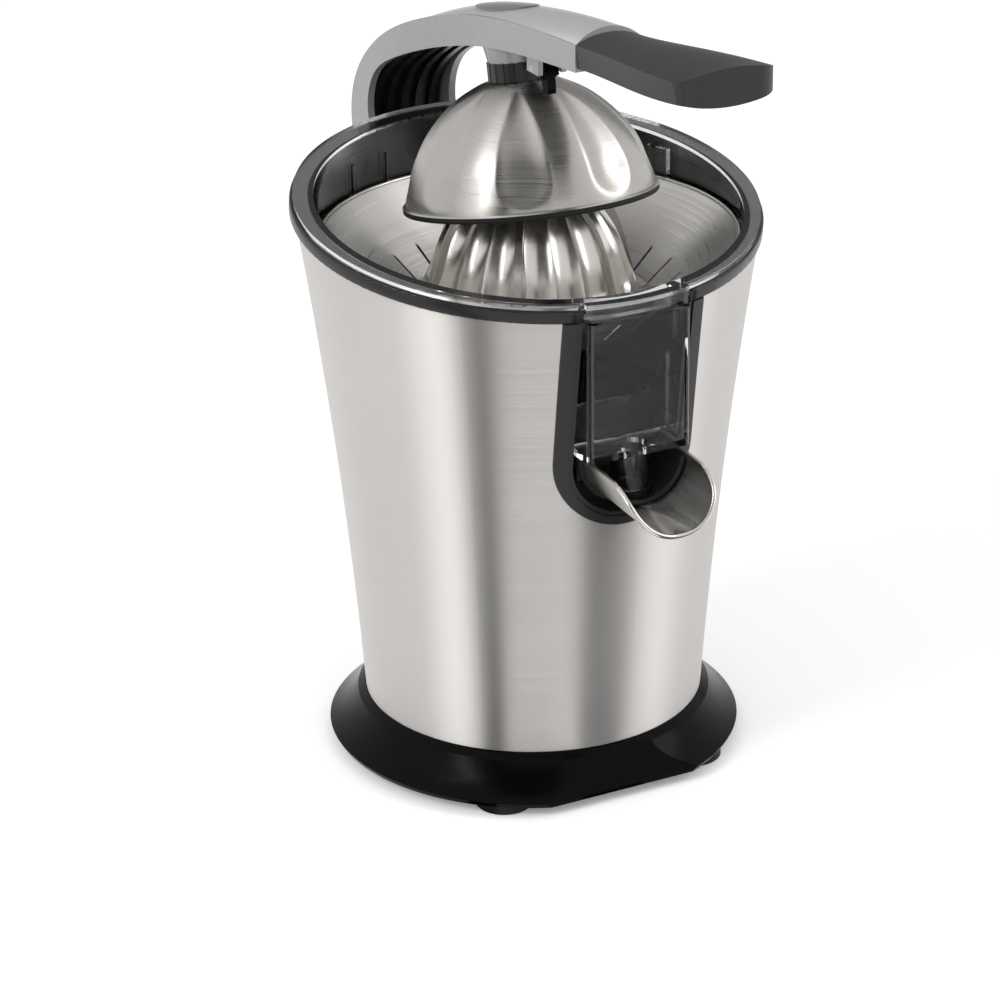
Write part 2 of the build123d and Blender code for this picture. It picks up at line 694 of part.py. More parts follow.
with BuildPart() as inner_housing:
    revolve_outline((
        (tube_in_r, spigot_top_z), (housing_r, spigot_top_z), (housing_r, housing_top_z - 3),
        (78.6, housing_top_z - 3), (78.6, housing_top_z), (shaft_r + 4, housing_top_z),
        (shaft_r + 4, housing_top_z - 3), (tube_in_r, housing_top_z - 3),
        (tube_in_r, gear_plate_z), (61, gear_plate_z), (61, gear_plate_z - 4), (tube_in_r, gear_plate_z - 7),
    ))
    block(-26, 26, -100, -50, 124.5, 140, mode=Mode.SUBTRACT)
    with BuildSketch(Plane.XY.offset(80)):
        with PolarLocations(gearbox_screw_ring_r, 4, start_angle=45):
            Circle(gearbox_screw_r)
    extrude(amount=20, mode=Mode.SUBTRACT)
save(inner_housing, "inner_housing")

with BuildPart() as gear_plate:
    disc(tube_in_r - FIT, gear_plate_z, gear_seat_z)
    disc(8, gear_plate_z - 12, gear_plate_z)
    disc(6.5, gear_plate_z - 10, gear_seat_z, mode=Mode.SUBTRACT)
    disc(motor_shaft_r + 0.6, 90, 110, (motor_x, idler_y), mode=Mode.SUBTRACT)
    disc(idler_pin_r, 90, 110, (0, idler_y), mode=Mode.SUBTRACT)
    block(switch_x - 6.2, switch_x + 6.2, -10.2, 10.2, 90, 110, mode=Mode.SUBTRACT)
    with BuildSketch(Plane.XY.offset(90)):
        with PolarLocations(gearbox_screw_ring_r, 4, start_angle=45):
            Circle(gearbox_screw_r + 0.2)
    extrude(amount=20, mode=Mode.SUBTRACT)
save(gear_plate, "gear_plate")

with BuildPart() as gearbox_cover:
    revolve_outline((
        (gearbox_r - 2, gear_seat_z), (gearbox_r + 5, gear_seat_z), (gearbox_r + 5, gear_seat_z + 2),
        (gearbox_r, gear_seat_z + 2), (gearbox_r, gearbox_top_z), (bush_r, gearbox_top_z),
        (bush_r, gearbox_top_z - gearbox_wall), (gearbox_r - 2, gearbox_top_z - gearbox_wall),
    ))
    disc(2 * idler_pin_r, gearbox_top_z - 5, gearbox_top_z - 3, (0, idler_y))
    disc(idler_pin_r, gearbox_top_z - 6, gearbox_top_z - 3, (0, idler_y), mode=Mode.SUBTRACT)
    with BuildSketch(Plane.XY.offset(90)):
        with PolarLocations(gearbox_screw_ring_r, 4, start_angle=45):
            Circle(gearbox_screw_r + 0.2)
    extrude(amount=20, mode=Mode.SUBTRACT)
save(gearbox_cover, "gearbox_cover")

with BuildPart() as gearbox_screws:
    with BuildSketch(Plane.XY.offset(gear_seat_z + 2)):
        with PolarLocations(gearbox_screw_ring_r - 0.3, 4, start_angle=45):
            Circle(2.2)
    extrude(amount=1.8)
    with BuildSketch(Plane.XY.offset(gear_seat_z + 2)):
        with PolarLocations(gearbox_screw_ring_r, 4, start_angle=45):
            Circle(gearbox_screw_r - PRESS)
    extrude(amount=-12)
save(gearbox_screws, "gearbox_screws")

with BuildPart() as shaft_bushes:
    lower_bush = (gearbox_top_z - 3, gearbox_top_z + 1, bush_r)
    upper_bush = (housing_top_z - 3, housing_top_z, shaft_r + 4)
    for low, top, wall_r in (lower_bush, upper_bush):
        disc(wall_r, low, top)
        disc(shaft_r + RUN, low, top, mode=Mode.SUBTRACT)
save(shaft_bushes, "shaft_bushes")

with BuildPart() as shaft_seal:
    disc(8.5, housing_top_z, housing_top_z + 4)
    disc(shaft_r + RUN, housing_top_z, housing_top_z + 4, mode=Mode.SUBTRACT)
    chamfer(shaft_seal.edges().filter_by(GeomType.CIRCLE).group_by(Axis.Z)[-1].sort_by(SortBy.RADIUS)[-1], 2)
save(shaft_seal, "shaft_seal")

with BuildPart() as drive_shaft:
    disc(shaft_r, shaft_low_z, shaft_top_z)
    for low, top in ((shaft_low_z, high_gear_z + high_gear_t + 3 + press_travel), (reamer_low_z - 0.5, shaft_top_z)):
        for side in (-1, 1):
            flat_low, flat_high = sorted((side * shaft_flat, side * 8))
            block(flat_low, flat_high, -8, 8, low, top, mode=Mode.SUBTRACT)
save(drive_shaft, "drive_shaft")

with BuildPart() as thrust_yoke:
    disc(yoke_r, shaft_low_z - yoke_t, shaft_low_z)
    disc(yoke_stem_r, gear_plate_z - 6, shaft_low_z - yoke_t)
    block(switch_x - 1, 0, -4, 4, shaft_low_z - yoke_t, shaft_low_z)
save(thrust_yoke, "thrust_yoke")

with BuildPart() as start_spring:
    spring_low = gear_plate_z - 9.4
    spring_len = shaft_low_z - yoke_t - spring_wire_r - 0.05 - spring_low
    coil = Helix(
        pitch=spring_len / spring_turns, height=spring_len, radius=spring_r, center=(0, 0, spring_low),
        mode=Mode.PRIVATE,
    )
    with BuildSketch(Plane(origin=coil @ 0, z_dir=coil % 0)) as wire:
        RegularPolygon(spring_wire_r, 6)
    sweep(wire.sketch, path=Wire(coil.edges()), is_frenet=True)
save(start_spring, "start_spring")

plunger_top_z = shaft_low_z - yoke_t

with BuildPart() as switch_body:
    block(switch_x - 6, switch_x + 6, -10, 10, 84, 99.2)
    disc(plunger_r + 0.1, 92, 110, (switch_x, 0), mode=Mode.SUBTRACT)
    for y in (-6, 0, 6):
        block(switch_x - 3, switch_x + 3, y - 0.4, y + 0.4, 78, 84)
save(switch_body, "switch_body")

with BuildPart() as switch_plunger:
    disc(plunger_r, 94.5, plunger_top_z, (switch_x, 0))
save(switch_plunger, "switch_plunger")


def toothed(module, teeth, turn=0.0):
    """A spur gear outline whose flanks follow the involute at root, pitch line and tip."""
    pressure = radians(20)
    pitch_r = module * teeth / 2
    base_r = pitch_r * cos(pressure)
    lean = tan(pressure) - pressure
    corners = []
    for tooth in range(teeth):
        middle = 2 * pi * tooth / teeth + radians(turn)
        flank = []
        for radius in (pitch_r - 1.2 * module, pitch_r, pitch_r + module):
            bent = sqrt(max((radius / base_r) ** 2 - 1, 0))
            half = pi / (2 * teeth) - gear_slack / (4 * pitch_r) + lean - (bent - atan(bent))
            flank.append((radius, half))
        corners += [(r, middle - h) for r, h in flank] + [(r, middle + h) for r, h in reversed(flank)]
    Polygon(*[(r * cos(a), r * sin(a)) for r, a in corners], align=None)


def gear(module, teeth, centre, z_low, z_high, turn, bore_r):
    """A toothed wheel on a round bore."""
    with BuildSketch(Plane.XY.offset(z_low)) as outline:
        with Locations(centre):
            toothed(module, teeth, turn)
            Circle(bore_r, mode=Mode.SUBTRACT)
    extrude(outline.sketch, amount=z_high - z_low)


low_gear_top = low_gear_z + low_gear_t
high_gear_top = high_gear_z + high_gear_t

with BuildPart() as output_wheel:
    with BuildSketch(Plane.XY.offset(high_gear_z)):
        toothed(coarse_module, large_teeth, 0)
    extrude(amount=high_gear_t)
    disc(9, high_gear_top, high_gear_top + 2.5)
    with BuildSketch(Plane.XY.offset(100)) as bore:
        double_d(shaft_r + SLIP + 0.03, shaft_flat + SLIP + 0.03)
    extrude(bore.sketch, amount=30, mode=Mode.SUBTRACT)
save(output_wheel, "output_wheel")

with BuildPart() as idler_gear:
    gear(fine_module, large_teeth, (0, idler_y), low_gear_z, low_gear_top, 0, idler_pin_r + RUN)
    gear(coarse_module, small_teeth, (0, idler_y), low_gear_top, high_gear_top + 0.5, 15, idler_pin_r + RUN)
    disc(5, gear_seat_z + 0.5, low_gear_z, (0, idler_y))
    disc(idler_pin_r + RUN, gear_seat_z, high_gear_top + 2, (0, idler_y), mode=Mode.SUBTRACT)
save(idler_gear, "idler_gear")

with BuildPart() as idler_pin:
    disc(idler_pin_r - PRESS, gear_plate_z, gearbox_top_z - 3, (0, idler_y))
save(idler_pin, "idler_pin")

with BuildPart() as motor_pinion:
    gear(fine_module, small_teeth, (motor_x, idler_y), low_gear_z, low_gear_top, 15, motor_shaft_r - PRESS)
save(motor_pinion, "motor_pinion")

with BuildPart() as motor_can:
    disc(motor_r, motor_low_z, gear_plate_z, (motor_x, idler_y))
    disc(rotor_r + 0.5, motor_low_z + 3, gear_plate_z - 3, (motor_x, idler_y), mode=Mode.SUBTRACT)
    disc(motor_shaft_r + RUN, motor_low_z + 1, 110, (motor_x, idler_y), mode=Mode.SUBTRACT)
save(motor_can, "motor_can")

with BuildPart() as motor_rotor:
    disc(rotor_r, motor_low_z + 8, gear_plate_z - 16, (motor_x, idler_y))
    disc(8.0, gear_plate_z - 15, gear_plate_z - 6, (motor_x, idler_y))
    disc(motor_shaft_r - PRESS, motor_low_z + 1.5, low_gear_top + 1.5, (motor_x, idler_y))
save(motor_rotor, "motor_rotor")


# ---------------------------------------------------------------- hinge
def shell_radius(z):
    """Outside radius of the tapered wall at a height, its arc taken as a parabola."""
    t = (z - shell_low_z) / (shell_high_z - shell_low_z)
    return shell_foot_r + (shell_top_r - shell_foot_r) * t - 4 * shell_waist_sag * t * (1 - t)


def on_nose(angle):
    """Point on the housing's round nose, in the (y, z) plane."""
    return (pivot_y + nose_r * cos(radians(angle)), pivot_z + nose_r * sin(radians(angle)))


with BuildPart() as hinge_housing:
    with BuildSketch(Plane.YZ):
        with BuildLine():
            Polyline(
                on_nose(-38), (90.5, housing_low_z), (80, housing_low_z), (80, pivot_z + 5.5), (100, pivot_z + 5.5),
                on_nose(118),
            )
            ThreePointArc(on_nose(118), on_nose(30), on_nose(-38))
        make_face()
    extrude(amount=housing_half, both=True)
    skin_band(RUN, None, mode=Mode.SUBTRACT)
    cross_rod(pin_r + RUN, pivot_y, pivot_z, -20, 20, mode=Mode.SUBTRACT)
    for screw_z in housing_screw_z:
        with BuildSketch(Plane(origin=(0, 75, screw_z), x_dir=(0, 0, 1), z_dir=(0, 1, 0))) as hole:
            Circle(housing_screw_r)
        extrude(hole.sketch, amount=17.5, mode=Mode.SUBTRACT)
save(hinge_housing, "hinge_housing")

with BuildPart() as hinge_backing:
    skin_band(-shell_wall - 0.15, -shell_wall - 1.7)
    block(-12, 12, 50, 110, housing_low_z, housing_low_z + 16.5, mode=Mode.INTERSECT)
    for screw_z in housing_screw_z:
        with BuildSketch(Plane.XZ.offset(-70)) as hole:
            with Locations((0, screw_z)):
                Circle(housing_screw_r + 0.25)
        extrude(hole.sketch, amount=-40, mode=Mode.SUBTRACT)
save(hinge_backing, "hinge_backing")

with BuildPart() as housing_screws:
    for screw_z in housing_screw_z:
        head_y = shell_radius(screw_z) - shell_wall - 2.3
        with BuildSketch(Plane.XZ.offset(-head_y)) as head:
            with Locations((0, screw_z)):
                Circle(housing_head_r)
        extrude(head.sketch, amount=1.6)
        with BuildSketch(Plane.XZ.offset(-head_y)) as shank:
            with Locations((0, screw_z)):
                Circle(housing_screw_r - PRESS)
        extrude(shank.sketch, amount=-(92.0 - head_y))
save(housing_screws, "housing_screws")

with BuildPart() as hinge_pin:
    cross_rod(pin_r, pivot_y, pivot_z, -arm_root_half, arm_root_half)
    chamfer(hinge_pin.edges().filter_by(GeomType.CIRCLE), 0.5)
save(hinge_pin, "hinge_pin")

with BuildPart() as friction_washers:
    for side in (-1, 1):
        inner_x = side * (housing_half + RUN)
        outer_x = side * (arm_root_half - cheek_t - RUN)
        cross_rod(washer_r, pivot_y, pivot_z, min(inner_x, outer_x), max(inner_x, outer_x))
    cross_rod(pin_r + RUN, pivot_y, pivot_z, -20, 20, mode=Mode.SUBTRACT)
save(friction_washers, "friction_washers")


# ---------------------------------------------------------------- arm
def height_on(points, y):
    """Height of a polyline of (y, z) points at a station along the arm."""
    ordered = sorted(points)
    for (y0, z0), (y1, z1) in zip(ordered, ordered[1:]):
        if y0 <= y <= y1:
            return z0 + (z1 - z0) * (y - y0) / (y1 - y0)
    return ordered[0][1] if y < ordered[0][0] else ordered[-1][1]


def arm_half(y):
    """Half width of the arm at a station: wide at the hinge, slim over the bowl."""
    t = min(max((95.0 - y) / 90.0, 0.0), 1.0)
    return arm_root_half - (arm_root_half - arm_mid_half) * t * t * (3 - 2 * t)


def plan_prism(inset, y_low, y_high, mode=Mode.INTERSECT):
    """Block with the arm's width in plan, less an inset on both sides."""
    stations = [y_high, 95.0, 80.0, 65.0, 50.0, 35.0, 20.0, 5.0, y_low]
    with BuildSketch(Plane.XY.offset(150)) as outline:
        with BuildLine():
            right = [(arm_half(y) - inset, y) for y in stations]
            near = Polyline(*right[:2])
            bend = Spline(*right[1:-1], tangents=((0, -1), (0, -1)))
            far = Polyline(*right[-2:])
            left_near = Polyline(*[(-x, y) for x, y in right[:2]])
            left_bend = Spline(*[(-x, y) for x, y in right[1:-1]], tangents=((0, -1), (0, -1)))
            left_far = Polyline(*[(-x, y) for x, y in right[-2:]])
            Line(near @ 0, left_near @ 0)
            Line(far @ 1, left_far @ 1)
        make_face()
    extrude(outline.sketch, amount=230, mode=mode)


with BuildPart(mode=Mode.PRIVATE) as arm_outside:
    with BuildSketch(Plane.YZ) as profile:
        with BuildLine():
            top_line = Spline(*arm_back)
            bottom_line = Spline(*arm_under)
            Line(top_line @ 1, bottom_line @ 0)
            Line(bottom_line @ 1, (pivot_y - arm_eye_r, pivot_z))
            Line((pivot_y - arm_eye_r, pivot_z), (pivot_y + arm_eye_r, pivot_z))
            Line((pivot_y + arm_eye_r, pivot_z), top_line @ 0)
        make_face()
        with Locations((pivot_y, pivot_z)):
            Circle(arm_eye_r)
    extrude(amount=arm_root_half, both=True)
    plan_prism(0, arm_joint_y, 140)

with BuildPart() as arm_frame:
    add(arm_outside.part)
    with BuildPart(mode=Mode.PRIVATE) as channel:
        with BuildSketch(Plane.YZ) as hollow:
            with BuildLine():
                web = [(y - arm_web * 0.9, z - arm_web * 0.45) for y, z in arm_back[:3]]
                web += [(y - arm_web * 0.35, z - arm_web) for y, z in arm_back[3:]]
                inner_top = Spline(*web)
                Polyline(
                    inner_top @ 1, (-80, web[-1][1]), (-80, 307.4), (arm_joint_y, 307.4), (-20.8, 302.2),
                    (13.2, 296.4), (channel_front_y, 290.4), (channel_front_y + 3, 270), (90, 200), (140, 200),
                    (140, web[0][1] + 0.6), inner_top @ 0,
                )
            make_face()
        extrude(amount=arm_root_half - cheek_t, both=True)
        plan_prism(arm_wall, -80, 150)
    add(channel.part, mode=Mode.SUBTRACT)
    cross_rod(pin_r + PRESS, pivot_y, pivot_z, -30, 30, mode=Mode.SUBTRACT)
    for side in (-1, 1):
        lug_low, lug_high = sorted((side * (finger_half + FIT), side * finger_pin_half))
        block(lug_low, lug_high, latch_y - 5.8, latch_y + 3.5, latch_z - 1.5, 302.0)
    cross_rod(latch_pin_r, latch_y, latch_z, -10, 10, mode=Mode.SUBTRACT)
    with BuildSketch(dome_plane.offset(50)) as stem_hole:
        Circle(socket_stem_r + RUN)
    extrude(stem_hole.sketch, amount=18, mode=Mode.SUBTRACT)
save(arm_frame, "arm_frame")

with BuildPart() as arm_cover:
    for y, crown in reversed(arm_crown):
        half = arm_half(y) - 0.3
        low = height_on(arm_back, y)
        with BuildSketch(Plane.XZ.offset(-y)):
            with BuildLine():
                ThreePointArc((-half, low), (0, low + crown), (half, low))
                Polyline((half, low), (half, low - 2.5), (-half, low - 2.5), (-half, low))
            make_face()
    loft()
    add(arm_outside.part, mode=Mode.SUBTRACT)
save(arm_cover, "arm_cover")

with BuildPart() as badge_insert:
    add(arm_cover.part.moved(Location((0, 0, badge_proud))))
    with BuildSketch(Plane.XY.offset(280)) as oval:
        with Locations((0, badge_y)):
            Ellipse(badge_rx, badge_ry)
    extrude(oval.sketch, amount=60, mode=Mode.INTERSECT)
    add(arm_cover.part, mode=Mode.SUBTRACT)
    add(arm_outside.part, mode=Mode.SUBTRACT)
save(badge_insert, "badge_insert")

with BuildPart() as arm_liner:
    with BuildSketch(Plane.YZ) as sheet:
        with BuildLine():
            outer_line = [(118.6, 232), (114.4, 251), (98.6, 267.4), (72, 282.8)]
            inner_line = [(70.8, 280.8), (96.8, 265.6), (112.2, 250), (116.4, 232)]
            outer_curve = Spline(*outer_line)
            inner_curve = Spline(*inner_line)
            Line(outer_curve @ 1, inner_curve @ 0)
            Line(inner_curve @ 1, outer_curve @ 0)
        make_face()
    extrude(sheet.sketch, amount=liner_half, both=True)
    with BuildSketch(Plane.YZ) as rib_side:
        with BuildLine():
            rib_line = Spline((116.6, 233), (112.6, 250.2), (97.2, 266), (74, 279.8))
            rib_edge = Spline((72.8, 277.4), (95.2, 264), (110.2, 249), (114.2, 233))
            Line(rib_line @ 1, rib_edge @ 0)
            Line(rib_edge @ 1, rib_line @ 0)
        make_face()
    for number in range(-2, 3):
        extrude(rib_side.sketch.moved(Location((number * rib_pitch, 0, 0))), amount=rib_w / 2, both=True)
save(arm_liner, "arm_liner")


with BuildPart() as grip:
    for y in (-160.0, -140.0, -115.0, -90.0, arm_joint_y - 0.2):
        t = min(max((arm_joint_y - y) / 80.0, 0.0), 1.0)
        half = arm_mid_half + (arm_root_half - arm_mid_half) * t * t * (3 - 2 * t)
        low = height_on(grip_low, y)
        high = height_on(grip_high, y)
        with BuildSketch(Plane.XZ.offset(-y)):
            with BuildLine():
                ThreePointArc((-half, high), (0, high + grip_crown), (half, high))
                Line((half, high), (half - 0.8, low + 1.5))
                ThreePointArc((half - 0.8, low + 1.5), (0, low - 1.5), (0.8 - half, low + 1.5))
                Line((0.8 - half, low + 1.5), (-half, high))
            make_face()
    loft()
    with BuildSketch(Plane.XY.offset(295)) as plan:
        with Locations((0, -grip_front_y / 2 - 20)):
            RectangleRounded(2 * arm_root_half + 0.6, grip_front_y - 40, grip_corner_r)
    extrude(plan.sketch, amount=45, mode=Mode.INTERSECT)
    block(-9, 9, -67, -52, 308, 311.2)
save(grip, "grip")

# ---------------------------------------------------------------- dome
neck_top = dome_h + neck_h


def on_dome(r, h):
    """World point at a radius and a height along the dome's own axis."""
    return dome_origin + Vector(r, 0, 0) + dome_dir * h


def dome_body(inset):
    """Solid dome without its hollow, its pressed scallops kept at the same depth for any inset."""
    with BuildPart(mode=Mode.PRIVATE) as body:
        with BuildSketch(dome_section) as half:
            with BuildLine() as outline:
                side = [(r - inset, h - inset * (h > 3)) for r, h in dome_outline]
                curve = Spline(*side, tangents=((0, 1), (-1, 0.05)))
                Polyline(curve @ 1, (0, dome_h - inset), (0, 1.2 - inset), (side[0][0], 1.2 - inset), curve @ 0)
            make_face(outline.line)
        revolve(half.sketch, axis=dome_axis)
        rail = Edge.make_three_point_arc(on_dome(103.0, 32.8), on_dome(87.3, 62.0), on_dome(53.8, 95.2))
        with BuildPart(mode=Mode.PRIVATE) as scallop:
            with BuildSketch(Plane(origin=rail @ 0, x_dir=dome_across, z_dir=rail % 0)) as tool:
                Circle(scallop_r + inset)
            sweep(tool.sketch, path=rail)
            with Locations(rail @ 0):
                Sphere(scallop_r + inset)
        for number in range(scallop_count):
            add(scallop.part.rotate(dome_axis, scallop_turn + number * 360 / scallop_count), mode=Mode.SUBTRACT)
    return body.part


with BuildPart() as press_dome:
    add(dome_body(0))
    add(dome_body(dome_wall), mode=Mode.SUBTRACT)
    with BuildSketch(dome_plane.offset(40)) as screw_hole:
        Circle(screw_shank_r + 0.2)
    extrude(screw_hole.sketch, amount=15, mode=Mode.SUBTRACT)
save(press_dome, "press_dome")

with BuildPart() as dome_ring:
    with BuildSketch(dome_section) as ring_section:
        with Locations((49.5, 1.25)):
            RectangleRounded(3.9, 2.5, 0.7)
    revolve(ring_section.sketch, axis=dome_axis)
    add(press_dome.part, mode=Mode.SUBTRACT)
save(dome_ring, "dome_ring")

with BuildPart() as dome_neck:
    with BuildSketch(dome_plane.offset(dome_h)) as ribbed:
        Circle(neck_r)
        with PolarLocations(neck_r + 0.5, 18):
            Circle(1.1, mode=Mode.SUBTRACT)
        Circle(screw_shank_r + 0.1, mode=Mode.SUBTRACT)
    extrude(ribbed.sketch, amount=neck_h)
save(dome_neck, "dome_neck")

with BuildPart() as dome_socket:
    with BuildSketch(dome_section) as frustum:
        with BuildLine():
            Polyline(
                (0, neck_top), (11.6, neck_top), (13.2, neck_top + 8), (13.2, neck_top + 14), (0, neck_top + 14),
                close=True,
            )
        make_face()
    revolve(frustum.sketch, axis=dome_axis)
    add(arm_outside.part, mode=Mode.SUBTRACT)
    with BuildSketch(dome_plane.offset(neck_top)) as stem:
        Circle(socket_stem_r)
    extrude(stem.sketch, amount=10.2)
    with BuildSketch(dome_plane.offset(neck_top)) as thread_bore:
        Circle(screw_tip_r)
    extrude(thread_bore.sketch, amount=8, mode=Mode.SUBTRACT)
save(dome_socket, "dome_socket")

with BuildPart() as dome_screw:
    with BuildSketch(dome_plane.offset(dome_h - dome_wall - screw_head_t)) as head:
        Circle(screw_head_r)
    extrude(head.sketch, amount=screw_head_t)
    with BuildSketch(dome_plane.offset(dome_h - dome_wall)) as shank:
        Circle(screw_shank_r)
    extrude(shank.sketch, amount=dome_wall + neck_h)
    with BuildSketch(dome_plane.offset(neck_top)) as tip:
        Circle(screw_tip_r - PRESS)
    extrude(tip.sketch, amount=7)
save(dome_screw, "dome_screw")

with BuildPart() as latch_finger:
    with BuildSketch(Plane.YZ) as finger_side:
        with BuildLine():
            Polyline((latch_y, latch_z + 2.4), (-6.0, latch_z + 0.6), (-6.0, latch_z - 2.4), (-11.0, latch_z - 2.6))
            inner_bend = ThreePointArc((-11.0, latch_z - 2.6), (-14.8, latch_z - 5.0), (-16.2, latch_z - 10.4))
            Line(inner_bend @ 1, (-20.4, latch_z - 9.8))
            ThreePointArc((-20.4, latch_z - 9.8), (-19.9, latch_z - 3.5), (-17.4, latch_z + 1.2))
            Line((-17.4, latch_z + 1.2), (latch_y, latch_z + 2.4))
        make_face()
    extrude(finger_side.sketch, amount=finger_half, both=True)
    cross_rod(latch_pin_r + RUN, latch_y, latch_z, -10, 10, mode=Mode.SUBTRACT)
save(latch_finger, "latch_finger")

with BuildPart() as finger_pin:
    cross_rod(latch_pin_r - PRESS, latch_y, latch_z, -finger_pin_half, finger_pin_half)
save(finger_pin, "finger_pin")
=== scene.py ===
"""Looks of a motor driven lever citrus juicer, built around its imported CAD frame.

The frame is in metres with +Z up along the drive shaft and the spout facing -Y.
"""

import logging
import math
from dataclasses import dataclass, field
from enum import Enum

import bmesh
import bpy
from mathutils import Matrix, Vector


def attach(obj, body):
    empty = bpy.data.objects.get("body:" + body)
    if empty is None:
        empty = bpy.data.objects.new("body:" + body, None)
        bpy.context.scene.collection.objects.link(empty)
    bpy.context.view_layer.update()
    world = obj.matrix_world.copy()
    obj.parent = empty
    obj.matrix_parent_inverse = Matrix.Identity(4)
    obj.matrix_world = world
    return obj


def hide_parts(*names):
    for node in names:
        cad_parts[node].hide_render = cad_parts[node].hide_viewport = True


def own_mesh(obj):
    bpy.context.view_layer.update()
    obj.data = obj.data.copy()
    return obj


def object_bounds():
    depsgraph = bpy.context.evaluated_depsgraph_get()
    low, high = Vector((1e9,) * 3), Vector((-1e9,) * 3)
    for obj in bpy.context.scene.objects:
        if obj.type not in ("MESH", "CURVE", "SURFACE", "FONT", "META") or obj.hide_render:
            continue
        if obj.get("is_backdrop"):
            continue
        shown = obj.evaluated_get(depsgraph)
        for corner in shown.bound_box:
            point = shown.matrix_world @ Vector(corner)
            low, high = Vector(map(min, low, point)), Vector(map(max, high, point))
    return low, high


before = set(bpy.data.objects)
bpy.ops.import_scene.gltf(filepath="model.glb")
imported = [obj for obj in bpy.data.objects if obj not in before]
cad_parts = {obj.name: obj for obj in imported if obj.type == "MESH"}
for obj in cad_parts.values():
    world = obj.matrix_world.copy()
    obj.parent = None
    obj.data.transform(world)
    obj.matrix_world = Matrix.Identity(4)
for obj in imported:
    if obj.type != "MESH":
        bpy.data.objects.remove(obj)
log = logging.getLogger("juicer")
MM = 0.001
MERGE = 1e-6  # metres between two corners that are one
SHARP = math.radians(40)  # edges bent further than this stay crisp
WHITE = (1.0, 1.0, 1.0, 1.0)


def linear(code: str) -> tuple[float, float, float, float]:
    """Turn an sRGB hex colour into the linear values that shaders take.

    Args:
        code: six hex digits.

    Returns:
        Red, green, blue and an alpha of one.
    """
    values = [int(code[i : i + 2], 16) / 255 for i in (0, 2, 4)]
    curve = [v / 12.92 if v <= 0.04045 else ((v + 0.055) / 1.055) ** 2.4 for v in values]
    return (*curve, 1.0)


def tones(colour: str, dark: float, light: float) -> dict[str, tuple[float, ...]]:
    """Give a mixing node a darker and a lighter tone of one colour.

    Args:
        colour: six hex digits.
        dark: share of the colour in the darker tone.
        light: share of it in the lighter tone.

    Returns:
        The node's two colour inputs.
    """
    base = linear(colour)[:3]
    return {
        "Color1": (*(dark * v for v in base), 1.0),
        "Color2": (*(min(1.0, light * v) for v in base), 1.0),
    }


# ---------------------------------------------------------------- materials
class Graph:
    """The node tree of a material or a world, with one call for each node."""

    def __init__(self, owner: bpy.types.Material | bpy.types.World, output: str = "OutputMaterial") -> None:
        """Empty the owner's tree and add its output node.

        Args:
            owner: the material or the world.
            output: the output node's type without its ShaderNode prefix.
        """
        self.owner = owner
        owner.use_nodes = True
        self.tree = owner.node_tree
        self.tree.nodes.clear()
        self.output = self.add(output)

    def add(self, kind: str, settings: dict | None = None, **inputs: object) -> bpy.types.Node:
        """Add a node, set its properties and fill or link its inputs.

        Args:
            kind: the node type without its ShaderNode prefix.
            settings: properties of the node.
            **inputs: values or output sockets by input name, with underscores for
                spaces; in0, in1 and so on count the sockets instead.

        Returns:
            The new node.
        """
        node = self.tree.nodes.new(f"ShaderNode{kind}")
        for key, value in (settings or {}).items():
            setattr(node, key, value)
        for key, value in inputs.items():
            numbered = key[:2] == "in" and key[2:].isdigit()
            socket = node.inputs[int(key[2:])] if numbered else node.inputs[key.replace("_", " ")]
            if isinstance(value, bpy.types.NodeSocket):
                self.tree.links.new(value, socket)
            else:
                socket.default_value = value
        return node

    def noise(self, place: bpy.types.Node, size_mm: float, detail: float) -> bpy.types.NodeSocket:
        """Add noise of a real size, fixed to the object.

        Args:
            place: the texture coordinate node.
            size_mm: size of its patches in millimetres.
            detail: how many finer layers it has.

        Returns:
            The socket with the noise.
        """
        scale = 1 / (size_mm * MM)
        node = self.add("TexNoise", Vector=place.outputs["Object"], Scale=scale, Detail=detail)
        return node.outputs["Fac"]

    def about(
        self,
        value: bpy.types.NodeSocket,
        middle: float,
        swing: float,
        span: tuple[float, float] = (0.0, 1.0),
    ) -> bpy.types.NodeSocket:
        """Let a number swing round its middle.

        Args:
            value: the socket that drives it.
            middle: the number's middle.
            swing: how far it goes to both sides.
            span: the part of the driving value's range that counts.

        Returns:
            The socket with the result.
        """
        low, high = middle - swing, middle + swing
        node = self.add(
            "MapRange", Value=value, From_Min=span[0], From_Max=span[1], To_Min=low, To_Max=high
        )
        return node.outputs["Result"]

    def seen(self) -> bpy.types.NodeSocket:
        """Add nodes that give one for camera, glossy and transmission rays.

        Returns:
            The socket with the result.
        """
        path = self.add("LightPath")
        total = path.outputs["Is Camera Ray"]
        for name in ("Is Glossy Ray", "Is Transmission Ray"):
            join = self.add("Math", {"operation": "MAXIMUM"}, in0=total, in1=path.outputs[name])
            total = join.outputs["Value"]
        return total

    def finish(self, shader: bpy.types.Node) -> bpy.types.Material | bpy.types.World:
        """Link the shader to the output.

        Args:
            shader: the last shader node.

        Returns:
            The finished material or world.
        """
        self.tree.links.new(shader.outputs[0], self.output.inputs["Surface"])
        return self.owner


class Lay(Enum):
    """Which way the brush marks of a metal run."""

    ROUND = "round the upright axis"
    NONE = "in all directions"


